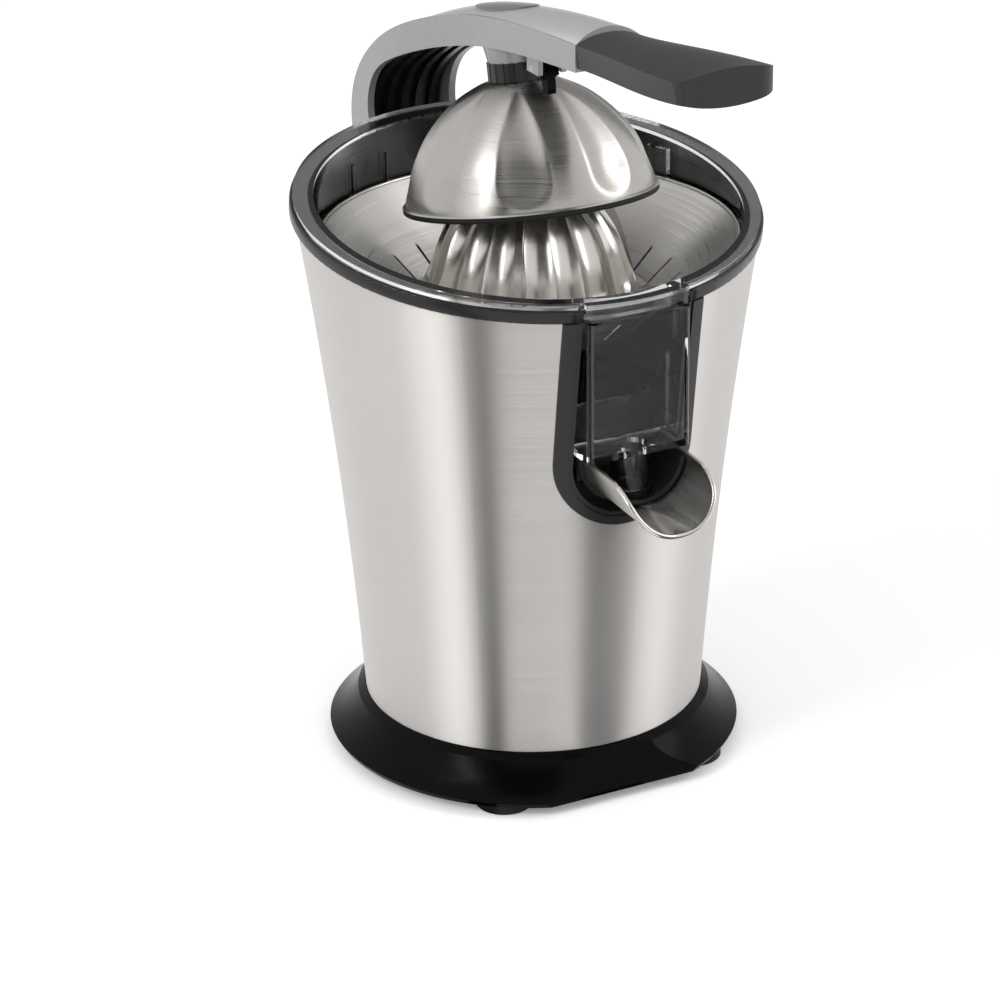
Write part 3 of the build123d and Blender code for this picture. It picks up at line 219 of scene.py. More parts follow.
@dataclass(frozen=True)
class Moulded:
    """Injection moulded plastic or rubber with the fine spark grain of its tool.

    Attributes:
        name: material name.
        colour: sRGB hex code.
        roughness: mean roughness.
        grain_mm: size of the grain.
        depth_mm: height of the grain.
        shine: specular level, where 0.5 is the full gloss of the index.
        ior: index of refraction.
        patch_mm: size of the patches that differ a little.
        wear: how far their roughness swings.
        spread: how far their tone swings.
        relief: strength of the grain's bump.
    """

    name: str
    colour: str
    roughness: float = 0.45
    grain_mm: float = 0.5
    depth_mm: float = 0.01
    shine: float = 0.5
    ior: float = 1.53
    patch_mm: float = 30.0
    wear: float = 0.06
    spread: float = 0.12
    relief: float = 0.35

    def build(self) -> bpy.types.Material:
        """Make the material."""
        g = Graph(bpy.data.materials.new(self.name))
        place = g.add("TexCoord")
        grain = g.noise(place, self.grain_mm, detail=2.0)
        patch = g.noise(place, self.patch_mm, detail=4.0)
        tone = g.add("MixRGB", Fac=patch, **tones(self.colour, 1 - self.spread, 1 + self.spread))
        bump = g.add("Bump", Height=grain, Strength=self.relief, Distance=self.depth_mm * MM)
        shader = g.add(
            "BsdfPrincipled",
            Base_Color=tone.outputs["Color"],
            Roughness=g.about(patch, self.roughness, self.wear),
            Normal=bump.outputs["Normal"],
            Specular_IOR_Level=self.shine,
            IOR=self.ior,
        )
        return g.finish(shader)


@dataclass(frozen=True)
class Painted:
    """Metallic lacquer on a moulding: flakes that catch light one by one.

    Attributes:
        name: material name.
        colour: sRGB hex code.
        roughness: mean roughness.
        flake_mm: size of a flake, drawn coarser than the real 0.05 mm so that it shows.
        patch_mm: size of the patches that differ a little in gloss.
        wear: how far their roughness swings.
        dark: tone of the darkest flakes as a share of the colour.
        light: tone of the lightest flakes.
        metal: share of bare metal in the lacquer.
        coat: weight of the clear coat.
        coat_roughness: its roughness.
        relief: strength of the flakes' bump.
        depth_mm: height of the flakes.
    """

    name: str
    colour: str
    roughness: float = 0.38
    flake_mm: float = 0.35
    patch_mm: float = 25.0
    wear: float = 0.04
    dark: float = 0.86
    light: float = 1.1
    metal: float = 0.35
    coat: float = 0.25
    coat_roughness: float = 0.2
    relief: float = 0.15
    depth_mm: float = 0.01

    def build(self) -> bpy.types.Material:
        """Make the material."""
        g = Graph(bpy.data.materials.new(self.name))
        place = g.add("TexCoord")
        flake = g.add("TexVoronoi", Vector=place.outputs["Object"], Scale=1 / (self.flake_mm * MM))
        patch = g.noise(place, self.patch_mm, detail=3.0)
        tone = g.add("MixRGB", Fac=flake.outputs["Color"], **tones(self.colour, self.dark, self.light))
        bump = g.add(
            "Bump", Height=flake.outputs["Distance"], Strength=self.relief, Distance=self.depth_mm * MM
        )
        shader = g.add(
            "BsdfPrincipled",
            Base_Color=tone.outputs["Color"],
            Metallic=self.metal,
            Roughness=g.about(patch, self.roughness, self.wear),
            Normal=bump.outputs["Normal"],
            Coat_Weight=self.coat,
            Coat_Roughness=self.coat_roughness,
        )
        return g.finish(shader)


@dataclass(frozen=True)
class Steel:
    """Stainless steel, drawn and then brushed or polished.

    Attributes:
        name: material name.
        colour: sRGB hex code.
        roughness: mean roughness.
        line_mm: spacing of the brush marks, coarser than the real 0.05 mm so that they show.
        lay: which way the brush marks run.
        stretch: anisotropy, how far highlights spread across the marks.
        streak: how much the marks change roughness.
        shade: how much the marks change the tone, from 0 to 1.
        along: noise scale per metre along the marks.
        contrast: part of the noise's range that the marks use.
        patch_mm: size of the patches that differ a little in gloss.
        wear: how far their roughness swings.
        across: turn of the highlight's long side away from the marks, in full turns.
        relief: strength of the marks' bump.
        depth_mm: depth of the marks.
    """

    name: str
    colour: str
    roughness: float = 0.3
    line_mm: float = 0.3
    lay: Lay = Lay.ROUND
    stretch: float = 0.7
    streak: float = 0.06
    shade: float = 0.06
    along: float = 10.0
    contrast: tuple[float, float] = (0.3, 0.7)
    patch_mm: float = 40.0
    wear: float = 0.02
    across: float = 0.25
    relief: float = 0.1
    depth_mm: float = 0.02

    def build(self) -> bpy.types.Material:
        """Make the material."""
        g = Graph(bpy.data.materials.new(self.name))
        place = g.add("TexCoord")
        fine = 1 / (self.line_mm * MM)
        side = self.along if self.lay is Lay.ROUND else fine
        squeeze = g.add("Mapping", Vector=place.outputs["Object"], Scale=(side, side, fine))
        noise = g.add("TexNoise", Vector=squeeze.outputs["Vector"], Scale=1.0, Detail=3.0, Roughness=0.75)
        lines = noise.outputs["Fac"]
        rough = g.about(lines, self.roughness, self.streak, self.contrast)
        blotch = g.about(g.noise(place, self.patch_mm, detail=2.0), 0.0, self.wear)
        both = g.add("Math", {"operation": "ADD"}, in0=rough, in1=blotch)
        tone = g.add("MixRGB", Fac=lines, **tones(self.colour, 1 - self.shade, 1 + self.shade))
        bump = g.add("Bump", Height=lines, Strength=self.relief, Distance=self.depth_mm * MM)
        shader = g.add(
            "BsdfPrincipled",
            Base_Color=tone.outputs["Color"],
            Metallic=1.0,
            Roughness=both.outputs["Value"],
            Anisotropic=self.stretch,
            Anisotropic_Rotation=self.across,
            Normal=bump.outputs["Normal"],
        )
        if self.lay is Lay.ROUND:
            round_z = g.add("Tangent", {"direction_type": "RADIAL", "axis": "Z"})
            g.tree.links.new(round_z.outputs["Tangent"], shader.inputs["Tangent"])
        return g.finish(shader)


@dataclass(frozen=True)
class Clear:
    """Smoke tinted clear plastic, polished in the tool and slightly wiped.

    Attributes:
        name: material name.
        colour: sRGB hex code of the tint.
        roughness: surface roughness.
        ior: index of refraction, a little under that of styrene acrylonitrile.
        patch_mm: size of the wiped patches.
        haze: how much rougher they are at most, half of it to each side of their mean.
    """

    name: str
    colour: str
    roughness: float = 0.02
    ior: float = 1.45
    patch_mm: float = 20.0
    haze: float = 0.05

    def build(self) -> bpy.types.Material:
        """Make the material."""
        g = Graph(bpy.data.materials.new(self.name))
        place = g.add("TexCoord")
        patch = g.noise(place, self.patch_mm, detail=3.0)
        shader = g.add(
            "BsdfPrincipled",
            Base_Color=linear(self.colour),
            Roughness=g.about(patch, self.roughness + self.haze / 2, self.haze / 2),
            Transmission_Weight=1.0,
            IOR=self.ior,
        )
        path = g.add("LightPath")
        soft = g.add(
            "Math",
            {"operation": "MAXIMUM"},
            in0=path.outputs["Is Shadow Ray"],
            in1=path.outputs["Is Diffuse Ray"],
        )
        through = g.add("BsdfTransparent", Color=linear(self.colour))
        both = g.add(
            "MixShader",
            Fac=soft.outputs["Value"],
            in1=shader.outputs["BSDF"],
            in2=through.outputs["BSDF"],
        )
        return g.finish(both)


class Finish(Enum):
    """Every finish on the juicer, each named for its real material."""

    # Deep drawn 18/10 steel, brushed round the body: sharp upright bands, soft up and down.
    BODY = Steel("brushed_steel_body", "D0CDCA", 0.46, line_mm=0.35, stretch=0.95, shade=0.04)
    # Pressed strainer and spout: the same steel, brighter, with marks that show one by one.
    BRIGHT = Steel("satin_steel_pressing", "CFCCC8", 0.34, line_mm=0.7, streak=0.1, shade=0.12)
    # Reamer and rolled edges: drawn and tumbled, nearly a mirror with soft, broken glints.
    MIRROR = Steel(
        "polished_steel_pressing",
        "CBC8C3",
        0.24,
        line_mm=3.0,
        lay=Lay.NONE,
        stretch=0.0,
        streak=0.02,
        shade=0.01,
    )
    # Dome: spun and brushed round, so its highlights run from top to edge, duller than the reamer.
    DOME = Steel("brushed_steel_dome", "B4B1AD", 0.32, line_mm=0.4, stretch=0.85, streak=0.08)
    # Collar, bezel, liner and neck: black ABS with a fine grain and a soft sheen.
    BLACK = Moulded("black_abs", "1A1A1B", 0.3, grain_mm=0.8, depth_mm=0.006, shine=0.35)
    # Base and latch: the same plastic from a polished tool, so that it looks deeper.
    GLOSS_BLACK = Moulded("gloss_black_abs", "050505", 0.22, grain_mm=1.2, depth_mm=0.004, shine=0.06)
    # Inner housing: ABS left as it leaves the tool, drawn in a lifted mid grey: painted light that stands
    # in for light inside the body seen through the window.
    PAINTED_LIGHT_GREY = Moulded("grey_abs_painted_light", "5A5A5B", grain_mm=0.6, shine=0.4)
    # Hinge, bottom and spout holder: black ABS with a coarse spark grain that kills highlights.
    MATT_BLACK = Moulded("matt_black_abs", "101011", 0.5, depth_mm=0.015, shine=0.25)
    # Arm frame: ABS under a mid grey lacquer with small flakes.
    GREY = Painted("grey_lacquered_abs", "929292", 0.36)
    # Arm cover: the same lacquer in silver, which glitters faintly along the curve.
    SILVER = Painted("silver_lacquered_abs", "C2C3C3", 0.32)
    # Grip: soft touch rubber, velvety, with no sharp highlight.
    GRIP = Moulded("soft_touch_grip", "2B2B2C", 0.44, grain_mm=0.45, depth_mm=0.02, shine=0.3)
    # Feet, seals and dome ring: moulded black rubber, dull and even.
    RUBBER = Moulded("black_rubber", "121213", 0.55, depth_mm=0.02, shine=0.25, ior=1.5)
    # Gears, plunger and yoke: off-white acetal with a waxy gloss.
    ACETAL = Moulded("white_acetal", "E2DFD4", 0.35, grain_mm=0.8, depth_mm=0.005, ior=1.48)
    # Tub, window and nozzle: clear styrene acrylonitrile with a trace of smoke.
    CLEAR = Clear("smoke_clear_plastic", "E6E8E8")
    # Screws, pins, plates and springs: zinc plated steel, bluish and slightly clouded.
    PLATED = Steel("zinc_plated_steel", "A9ACB0", line_mm=0.6, lay=Lay.NONE, stretch=0.0)
    # Shaft bushes: sintered bronze, brown and porous.
    BRONZE = Steel("sintered_bronze", "A8854A", 0.42, line_mm=0.5, lay=Lay.NONE, stretch=0.0)
    # Badge: grey lacquer like the arm's, darker and bare.
    BADGE = Painted("plain_badge_lacquer", "6F7072", 0.3)


class Paints:
    """The finished materials, each made once."""

    def __init__(self) -> None:
        """Start with nothing made."""
        self.made: dict[Finish, bpy.types.Material] = {}

    def get(self, finish: Finish) -> bpy.types.Material:
        """Return the material of a finish, making it at its first use.

        Args:
            finish: which finish.

        Returns:
            The material.
        """
        if finish not in self.made:
            self.made[finish] = finish.value.build()
        return self.made[finish]

    def dress(self, names: tuple[str, ...], finish: Finish) -> None:
        """Give CAD nodes their material.

        Args:
            names: the nodes.
            finish: their finish.
        """
        for name in names:
            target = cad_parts[name]
            target.data.materials.clear()
            target.data.materials.append(self.get(finish))
            log.info("dressed %s in %s", name, finish.value.name)

    def piece(
        self, name: str, bm: bmesh.types.BMesh, finish: Finish, body: str
    ) -> bpy.types.Object:
        """Turn a closed bmesh into a finished piece that rides on a body.

        Args:
            name: the piece's name.
            bm: its mesh, which is freed.
            finish: its finish.
            body: the body that carries it.

        Returns:
            The new object.
        """
        bmesh.ops.remove_doubles(bm, verts=bm.verts, dist=MERGE)
        bmesh.ops.recalc_face_normals(bm, faces=bm.faces)
        for face in bm.faces:
            face.smooth = True
        mesh = bpy.data.meshes.new(name)
        bm.to_mesh(mesh)
        bm.free()
        mesh.set_sharp_from_angle(angle=SHARP)
        mesh.materials.append(self.get(finish))
        made = bpy.data.objects.new(name, mesh)
        bpy.context.scene.collection.objects.link(made)
        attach(made, body)
        log.info("built %s on %s", name, body)
        return made


# ---------------------------------------------------------------- shapes
def mm(x: float, y: float, z: float) -> Vector:
    """Return a point in metres from millimetres."""
    return Vector((x, y, z)) * MM


def copied(node: str) -> bmesh.types.BMesh:
    """Copy a CAD node's mesh and merge its double corners.

    Args:
        node: the node's name.

    Returns:
        The copy; the node's own mesh stays as it is.
    """
    bm = bmesh.new()
    bm.from_mesh(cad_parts[node].data)
    bmesh.ops.remove_doubles(bm, verts=bm.verts, dist=MERGE)
    return bm


def turned(section: tuple[tuple[float, float], ...], steps: int = 128) -> bmesh.types.BMesh:
    """Turn a closed section about the upright axis.

    Args:
        section: corners as radius and height, in millimetres.
        steps: faces round the full turn.

    Returns:
        The closed ring.
    """
    bm = bmesh.new()
    corners = [bm.verts.new(mm(r, 0.0, z)) for r, z in section]
    face = bm.faces.new(corners)
    edges = list(face.edges)
    bmesh.ops.delete(bm, geom=[face], context="FACES_ONLY")
    bmesh.ops.spin(
        bm,
        geom=[*corners, *edges],
        cent=(0, 0, 0),
        axis=(0, 0, 1),
        angle=math.tau,
        steps=steps,
        use_merge=True,
        use_duplicate=False,
    )
    return bm


def cut(bm: bmesh.types.BMesh, point: Vector, normal: Vector) -> None:
    """Cut away what lies on the normal's side of a plane and close the cut.

    Args:
        bm: the mesh.
        point: a point on the plane.
        normal: the plane's normal.
    """
    bmesh.ops.bisect_plane(
        bm,
        geom=[*bm.verts, *bm.edges, *bm.faces],
        dist=MERGE / 10,
        plane_co=point,
        plane_no=normal,
        clear_outer=True,
    )
    bmesh.ops.holes_fill(bm, edges=[edge for edge in bm.edges if edge.is_boundary], sides=0)


def rod(points: list[Vector], radius: float, sides: int = 10) -> bmesh.types.BMesh:
    """Draw a round rod along a line of points, closed at its ends.

    Args:
        points: the line, in metres.
        radius: the rod's radius in metres.
        sides: faces round it.

    Returns:
        The closed rod.
    """
    bm = bmesh.new()
    loop: list[bmesh.types.BMEdge] = []
    for i, point in enumerate(points):
        ahead = (points[min(i + 1, len(points) - 1)] - points[max(i - 1, 0)]).normalized()
        turn = Vector((0, 0, 1)).rotation_difference(ahead).to_matrix().to_4x4()
        circle = bmesh.ops.create_circle(
            bm, cap_ends=False, radius=radius, segments=sides, matrix=Matrix.Translation(point) @ turn
        )
        ring = list({edge for vert in circle["verts"] for edge in vert.link_edges})
        if loop:
            bmesh.ops.bridge_loops(bm, edges=loop + ring)
        loop = [edge for edge in ring if edge.is_valid]
    bmesh.ops.holes_fill(bm, edges=[edge for edge in bm.edges if edge.is_boundary], sides=0)
    return bm


# ---------------------------------------------------------------- sub-assemblies
@dataclass
class Housing:
    """Steel body, base, collar and window surround.

    Attributes:
        lining_in: inner radius of the dark lining behind the clear wall, in millimetres.
        lining_out: its outer radius.
        lining_low: height of its lower edge.
        rim_z: height of the rim's top edge on the axis.
        rim_tilt: degrees that the rim rises towards the hinge.
        rim_band: depth of the collar, which ends the lining.
        window_half: half the width left open at the front.
        seat: how far the collar sits below the clear flange.
        spare: height over the rim to which the lining is drawn before it is cut along the rim.
    """

    lining_in: float = 88.4
    lining_out: float = 89.4
    lining_low: float = 213.0
    rim_z: float = 230.0
    rim_tilt: float = 7.4
    rim_band: float = 5.5
    window_half: float = 31.5
    seat: float = 0.15
    spare: float = 20.0

    def rim_up(self) -> Vector:
        """Return the direction that the rim's plane faces."""
        lean = math.radians(self.rim_tilt)
        return Vector((0.0, -math.sin(lean), math.cos(lean)))

    def collar(self, paints: Paints) -> None:
        """Seat the collar a hair lower, so that it shows cleanly through the clear flange on it.

        Args:
            paints: the finished materials.
        """
        bm = copied("top_collar")
        bmesh.ops.translate(bm, verts=bm.verts, vec=-self.rim_up() * self.seat * MM)
        made = paints.piece("seated_collar", bm, Finish.BLACK, "base")
        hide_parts("top_collar")

    def lining(self, paints: Paints) -> None:
        """Line the gap between the clear wall and the steel.

        Args:
            paints: the finished materials.
        """
        top = self.rim_z + self.spare
        bm = turned(
            (
                (self.lining_in, self.lining_low),
                (self.lining_out, self.lining_low),
                (self.lining_out, top),
                (self.lining_in, top),
            )
        )
        up = self.rim_up()
        cut(bm, mm(0, 0, self.rim_z) - up * self.rim_band * MM, up)
        front = -math.sqrt(self.lining_in**2 - self.window_half**2)
        cut(bm, mm(0, front, 0), Vector((0, -1, 0)))
        paints.piece("rim_lining", bm, Finish.BLACK, "base")

    def dress(self, paints: Paints) -> None:
        """Give the housing's nodes their finishes.

        Args:
            paints: the finished materials.
        """
        paints.dress(("steel_shell",), Finish.BODY)
        paints.dress(("window_bezel",), Finish.BLACK)
        paints.dress(("base_skirt",), Finish.GLOSS_BLACK)
        paints.dress(("bottom_plate", "hinge_housing", "spout_holder"), Finish.MATT_BLACK)
        # the inner housing's mid grey is painted light for the dim inside behind the window
        paints.dress(("inner_housing",), Finish.PAINTED_LIGHT_GREY)
        paints.dress(("feet", "cord_gland", "shaft_seal", "nozzle_pad"), Finish.RUBBER)
        paints.dress(("hinge_backing", "housing_screws", "plate_screws"), Finish.PLATED)

    def build(self, paints: Paints) -> None:
        """Dress the housing and build its own pieces.

        Args:
            paints: the finished materials.
        """
        self.dress(paints)
        self.collar(paints)
        self.lining(paints)


@dataclass
class JuicePath:
    """Clear tub and window, strainer, reamer and tipping spout.

    Attributes:
        bead_r: radius of the strainer's rolled rim, in millimetres.
        rim_r: radius where the rim bead lies.
        rim_z: height of the bead's centre.
        bead_sides: faces round the bead's section.
        bead_steps: faces round the strainer.
        trough_r: mean radius of the spout's wall.
        trough_y: where the spout's axis starts.
        trough_z: height of the axis there.
        trough_tilt: degrees that the spout falls towards the front.
        edge_z: height of the spout's two side edges.
        lip: front edge of the spout seen from the side, as y and z.
        lip_bead_r: radius of the polished bead along that edge.
        lip_turn: degrees from the spout's lowest line to where the bead ends at each side.
        lip_steps: pieces along the bead.
        lip_rounds: rounds in which a point of the lip settles on the spout's wall.
        cuff: section of the black half ring, as radius and distance along the spout.
        cuff_top_z: height where the half ring ends at both sides.
        cuff_steps: faces round the cuff's full turn.
    """

    bead_r: float = 0.75
    rim_r: float = 84.1
    rim_z: float = 218.4
    bead_sides: int = 10
    bead_steps: int = 160
    trough_r: float = 19.2
    trough_y: float = -74.5
    trough_z: float = 154.4
    trough_tilt: float = 2.0
    edge_z: float = 154.5
    lip: tuple[tuple[float, float], ...] = (
        (-100.0, 154.6),
        (-112.0, 150.6),
        (-119.6, 144.0),
        (-122.9, 137.4),
        (-122.6, 131.0),
    )
    lip_bead_r: float = 1.0
    lip_turn: float = 86.0
    lip_steps: int = 48
    lip_rounds: int = 12
    cuff: tuple[tuple[float, float], ...] = (
        (18.5, 0.5),
        (18.5, 20.5),
        (17.9, 21.3),
        (17.0, 21.3),
        (16.4, 20.6),
        (16.4, 19.2),
        (17.3, 18.4),
        (17.3, 0.5),
    )
    cuff_top_z: float = 152.6
    cuff_steps: int = 96

    def strainer_bead(self, paints: Paints) -> None:
        """Roll the strainer's outer edge.

        Args:
            paints: the finished materials.
        """
        turns = [math.tau * i / self.bead_sides for i in range(self.bead_sides)]
        section = tuple(
            (self.rim_r + self.bead_r * math.cos(t), self.rim_z + self.bead_r * math.sin(t)) for t in turns
        )
        bm = turned(section, self.bead_steps)
        paints.piece("strainer_bead", bm, Finish.MIRROR, "base")

    def lip_point(self, angle: float) -> Vector:
        """Return the point of the spout's front edge at an angle from its lowest line.

        Args:
            angle: radians round the spout's axis.

        Returns:
            The point in metres.
        """
        y = self.lip[0][0]
        for _ in range(self.lip_rounds):
            fall = (self.trough_y - y) * math.tan(math.radians(self.trough_tilt))
            z = self.trough_z - fall - self.trough_r * math.cos(angle)
            y = self.edge_y(z)
        return mm(self.trough_r * math.sin(angle), y, min(z, self.edge_z))

    def edge_y(self, z: float) -> float:
        """Return the front edge's y at a height, smooth through the lip's points.

        Args:
            z: height in millimetres.

        Returns:
            The y in millimetres.
        """
        total = 0.0
        for i, (y_i, z_i) in enumerate(self.lip):
            weight = 1.0
            for j, (_, z_j) in enumerate(self.lip):
                if i != j:
                    weight *= (z - z_j) / (z_i - z_j)
            total += weight * y_i
        return total

    def spout_bead(self, paints: Paints) -> None:
        """Fold the spout's front edge into a bright bead.

        Args:
            paints: the finished materials.
        """
        side = math.radians(self.lip_turn)
        line = [self.lip_point(side * (2 * i / self.lip_steps - 1)) for i in range(self.lip_steps + 1)]
        bm = rod(line, self.lip_bead_r * MM)
        paints.piece("spout_bead", bm, Finish.MIRROR, "spout")

    def spout_cuff(self, paints: Paints) -> None:
        """Hug the rear of the spout with a black half ring that ends in a raised front edge.

        Args:
            paints: the finished materials.
        """
        bm = turned(self.cuff, self.cuff_steps)
        lay = Matrix.Rotation(math.radians(90 + self.trough_tilt), 3, "X")
        bmesh.ops.rotate(bm, verts=bm.verts, cent=(0, 0, 0), matrix=lay)
        bmesh.ops.translate(bm, verts=bm.verts, vec=mm(0, self.trough_y, self.trough_z))
        cut(bm, mm(0, 0, self.cuff_top_z), Vector((0, 0, 1)))
        paints.piece("spout_cuff", bm, Finish.MATT_BLACK, "spout")

    def dress(self, paints: Paints) -> None:
        """Give the juice path's nodes their finishes.

        Args:
            paints: the finished materials.
        """
        paints.dress(("juice_bowl", "juice_window", "outlet_nozzle"), Finish.CLEAR)
        paints.dress(("strainer", "spout_trough"), Finish.BRIGHT)
        paints.dress(("reamer_shell",), Finish.MIRROR)
        paints.dress(("reamer_core",), Finish.MATT_BLACK)
        paints.dress(("spout_pins",), Finish.PLATED)

    def build(self, paints: Paints) -> None:
        """Dress the juice path and build its own pieces.

        Args:
            paints: the finished materials.
        """
        self.dress(paints)
        self.strainer_bead(paints)
        self.spout_bead(paints)
        self.spout_cuff(paints)


@dataclass
class Lever:
    """Hinged arm with its cover, grip and latch.

    Attributes:
        blade_share: width of the latch's blade as a share of its eye.
        blade_top_z: height where the eye ends and the blade starts, in millimetres.
    """

    blade_share: float = 0.48
    blade_top_z: float = 288.5

    def blade(self, paints: Paints) -> None:
        """Thin the latch to a slender blade below its eye.

        Args:
            paints: the finished materials.
        """
        bm = copied("latch_finger")
        low = [vert for vert in bm.verts if vert.co.z < self.blade_top_z * MM]
        bmesh.ops.scale(bm, vec=(self.blade_share, 1.0, 1.0), verts=low)
        made = paints.piece("latch_blade", bm, Finish.GLOSS_BLACK, "finger")
        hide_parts("latch_finger")

    def dress(self, paints: Paints) -> None:
        """Give the arm's nodes their finishes.

        Args:
            paints: the finished materials.
        """
        paints.dress(("arm_frame", "dome_socket"), Finish.GREY)
        paints.dress(("arm_cover",), Finish.SILVER)
        paints.dress(("badge_insert",), Finish.BADGE)
        paints.dress(("grip",), Finish.GRIP)
        paints.dress(("arm_liner", "dome_neck", "friction_washers"), Finish.BLACK)
        paints.dress(("dome_ring",), Finish.RUBBER)
        paints.dress(("hinge_pin", "dome_screw", "finger_pin"), Finish.PLATED)

    def build(self, paints: Paints) -> None:
        """Dress the arm and build its own piece.

        Args:
            paints: the finished materials.
        """
        self.dress(paints)
        self.blade(paints)


@dataclass
class Dome:
    """Press dome with smooth flutes pressed into its side.

    Attributes:
        centre: middle of its open side, in millimetres.
        tilt: degrees that its axis leans towards the hinge.
        outline: outer side as radius and height over the open side.
        top_h: height of the flat top.
        hole_r: radius of the screw's hole.
        wall: thickness of the sheet.
        flutes: how many flutes.
        turn: degrees from +X to the first flute.
        half: half a flute's width, in degrees.
        depth: depth of a flute.
        soft: power that rounds the flute's edges.
        crown: height where the flutes begin to sink downwards too, and height over which they turn.
        crown_in: how much of the sinking towards the axis is lost at the top.
        crown_down: how much sinks downwards there instead.
        low: heights where a flute starts and where its rounded end is full.
        high: heights where a flute starts to fade and where it ends.
        rows: faces up the side.
        steps: faces round the dome.
    """

    centre: tuple[float, float, float] = (0.0, -2.3, 232.2)
    tilt: float = 11.6
    outline: tuple[tuple[float, float], ...] = (
        (50.0, 1.3),
        (50.0, 2.0),
        (49.4, 8.0),
        (45.6, 20.5),
        (38.6, 31.0),
        (28.0, 41.0),
        (17.0, 47.2),
        (12.0, 48.6),
    )
    top_h: float = 48.7
    hole_r: float = 5.0
    wall: float = 1.8
    flutes: int = 8
    turn: float = 16.5
    half: float = 12.5
    depth: float = 2.4
    soft: float = 1.15
    crown: tuple[float, float] = (8.0, 40.0)
    crown_in: float = 0.6
    crown_down: float = 0.8
    low: tuple[float, float] = (4.5, 15.0)
    high: tuple[float, float] = (24.0, 47.0)
    rows: int = 44
    steps: int = 288

    def side(self) -> list[tuple[float, float]]:
        """Sample the outer side smoothly.

        Returns:
            Radius and height of each row, from the open side up.
        """
        points = [Vector((r, h, 0.0)) for r, h in self.outline]
        samples = []
        for i in range(self.rows + 1):
            t = i / self.rows * (len(points) - 1)
            k = min(int(t), len(points) - 2)
            f = t - k
            a, b = points[k], points[k + 1]
            before, after = points[max(k - 1, 0)], points[min(k + 2, len(points) - 1)]
            slope_a, slope_b = (b - before) / 2, (after - a) / 2
            at = (
                a * (2 * f**3 - 3 * f**2 + 1)
                + slope_a * (f**3 - 2 * f**2 + f)
                + b * (3 * f**2 - 2 * f**3)
                + slope_b * (f**3 - f**2)
            )
            samples.append((at.x, at.y))
        return samples

    def sink(self, angle: float, height: float) -> float:
        """Return how deep the sheet is pressed in at a place.

        Args:
            angle: degrees round the dome from +X.
            height: height over the open side.

        Returns:
            The depth in millimetres.
        """
        pitch = 360 / self.flutes
        off = (angle - self.turn + pitch / 2) % pitch - pitch / 2
        reach = (off / self.half) ** 2
        if height < self.low[1]:
            reach += ((self.low[1] - height) / (self.low[1] - self.low[0])) ** 2
        if height > self.high[0]:
            reach += ((height - self.high[0]) / (self.high[1] - self.high[0])) ** 2
        return self.depth * max(0.0, 1 - reach) ** self.soft

    def press(self, bm: bmesh.types.BMesh) -> None:
        """Press the flutes into the upright, smooth dome.

        Args:
            bm: the dome's mesh.
        """
        for vert in bm.verts:
            flat = Vector((vert.co.x, vert.co.y, 0.0))
            angle = math.degrees(math.atan2(vert.co.y, vert.co.x))
            height = vert.co.z / MM
            deep = self.sink(angle, height) * MM
            if flat.length > 0 and deep > 0:
                rise = min(1.0, max(0.0, (height - self.crown[0]) / self.crown[1]))
                inward = flat.normalized() * deep * (1 - self.crown_in * rise)
                vert.co -= inward + Vector((0, 0, deep * self.crown_down * rise))

    def build(self, paints: Paints) -> None:
        """Press the dome and put it in the place of its CAD node.

        Args:
            paints: the finished materials.
        """
        outer = self.side()
        inner = []
        for i, (r, h) in enumerate(outer):
            ahead, behind = outer[min(i + 1, self.rows)], outer[max(i - 1, 0)]
            out = Vector((ahead[1] - behind[1], behind[0] - ahead[0])).normalized() * self.wall
            level = max(h - out.y, outer[0][1]) if i < 2 else h - out.y  # the open edge stays flat
            inner.append((r - out.x, level))
        hole = ((self.hole_r, self.top_h), (self.hole_r, self.top_h - self.wall))
        bm = turned((*outer, *hole, *reversed(inner)), self.steps)
        self.press(bm)
        lean = Matrix.Rotation(math.radians(-self.tilt), 4, "X")
        bmesh.ops.transform(bm, matrix=Matrix.Translation(mm(*self.centre)) @ lean, verts=bm.verts)
        dome = paints.piece("fluted_dome", bm, Finish.DOME, "arm")
        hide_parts("press_dome")


@dataclass
class Drive:
    """Motor, gears, shaft and the press switch inside the body.

    Attributes:
        travel: how far pressing the reamer shortens the start spring, in millimetres; not used.
    """

    travel: float = 1.5

    def spring(self, paints: Paints) -> None:
        """Put a copy of the start spring, with its own mesh, in the place of its CAD node.

        Args:
            paints: the finished materials.
        """
        bm = copied("start_spring")
        made = paints.piece("press_spring", bm, Finish.PLATED, "base")
        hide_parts("start_spring")
        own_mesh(made)

    def dress(self, paints: Paints) -> None:
        """Give the drive's nodes their finishes.

        Args:
            paints: the finished materials.
        """
        steel = ("drive_shaft", "gear_plate", "gearbox_screws", "idler_pin", "motor_can", "motor_rotor")
        paints.dress(steel, Finish.PLATED)
        white = ("idler_gear", "motor_pinion", "output_wheel", "switch_plunger", "thrust_yoke")
        paints.dress(white, Finish.ACETAL)
        paints.dress(("gearbox_cover", "switch_body"), Finish.MATT_BLACK)
        paints.dress(("shaft_bushes",), Finish.BRONZE)

    def build(self, paints: Paints) -> None:
        """Dress the drive and build its own piece.

        Args:
            paints: the finished materials.
        """
        self.dress(paints)
        self.spring(paints)


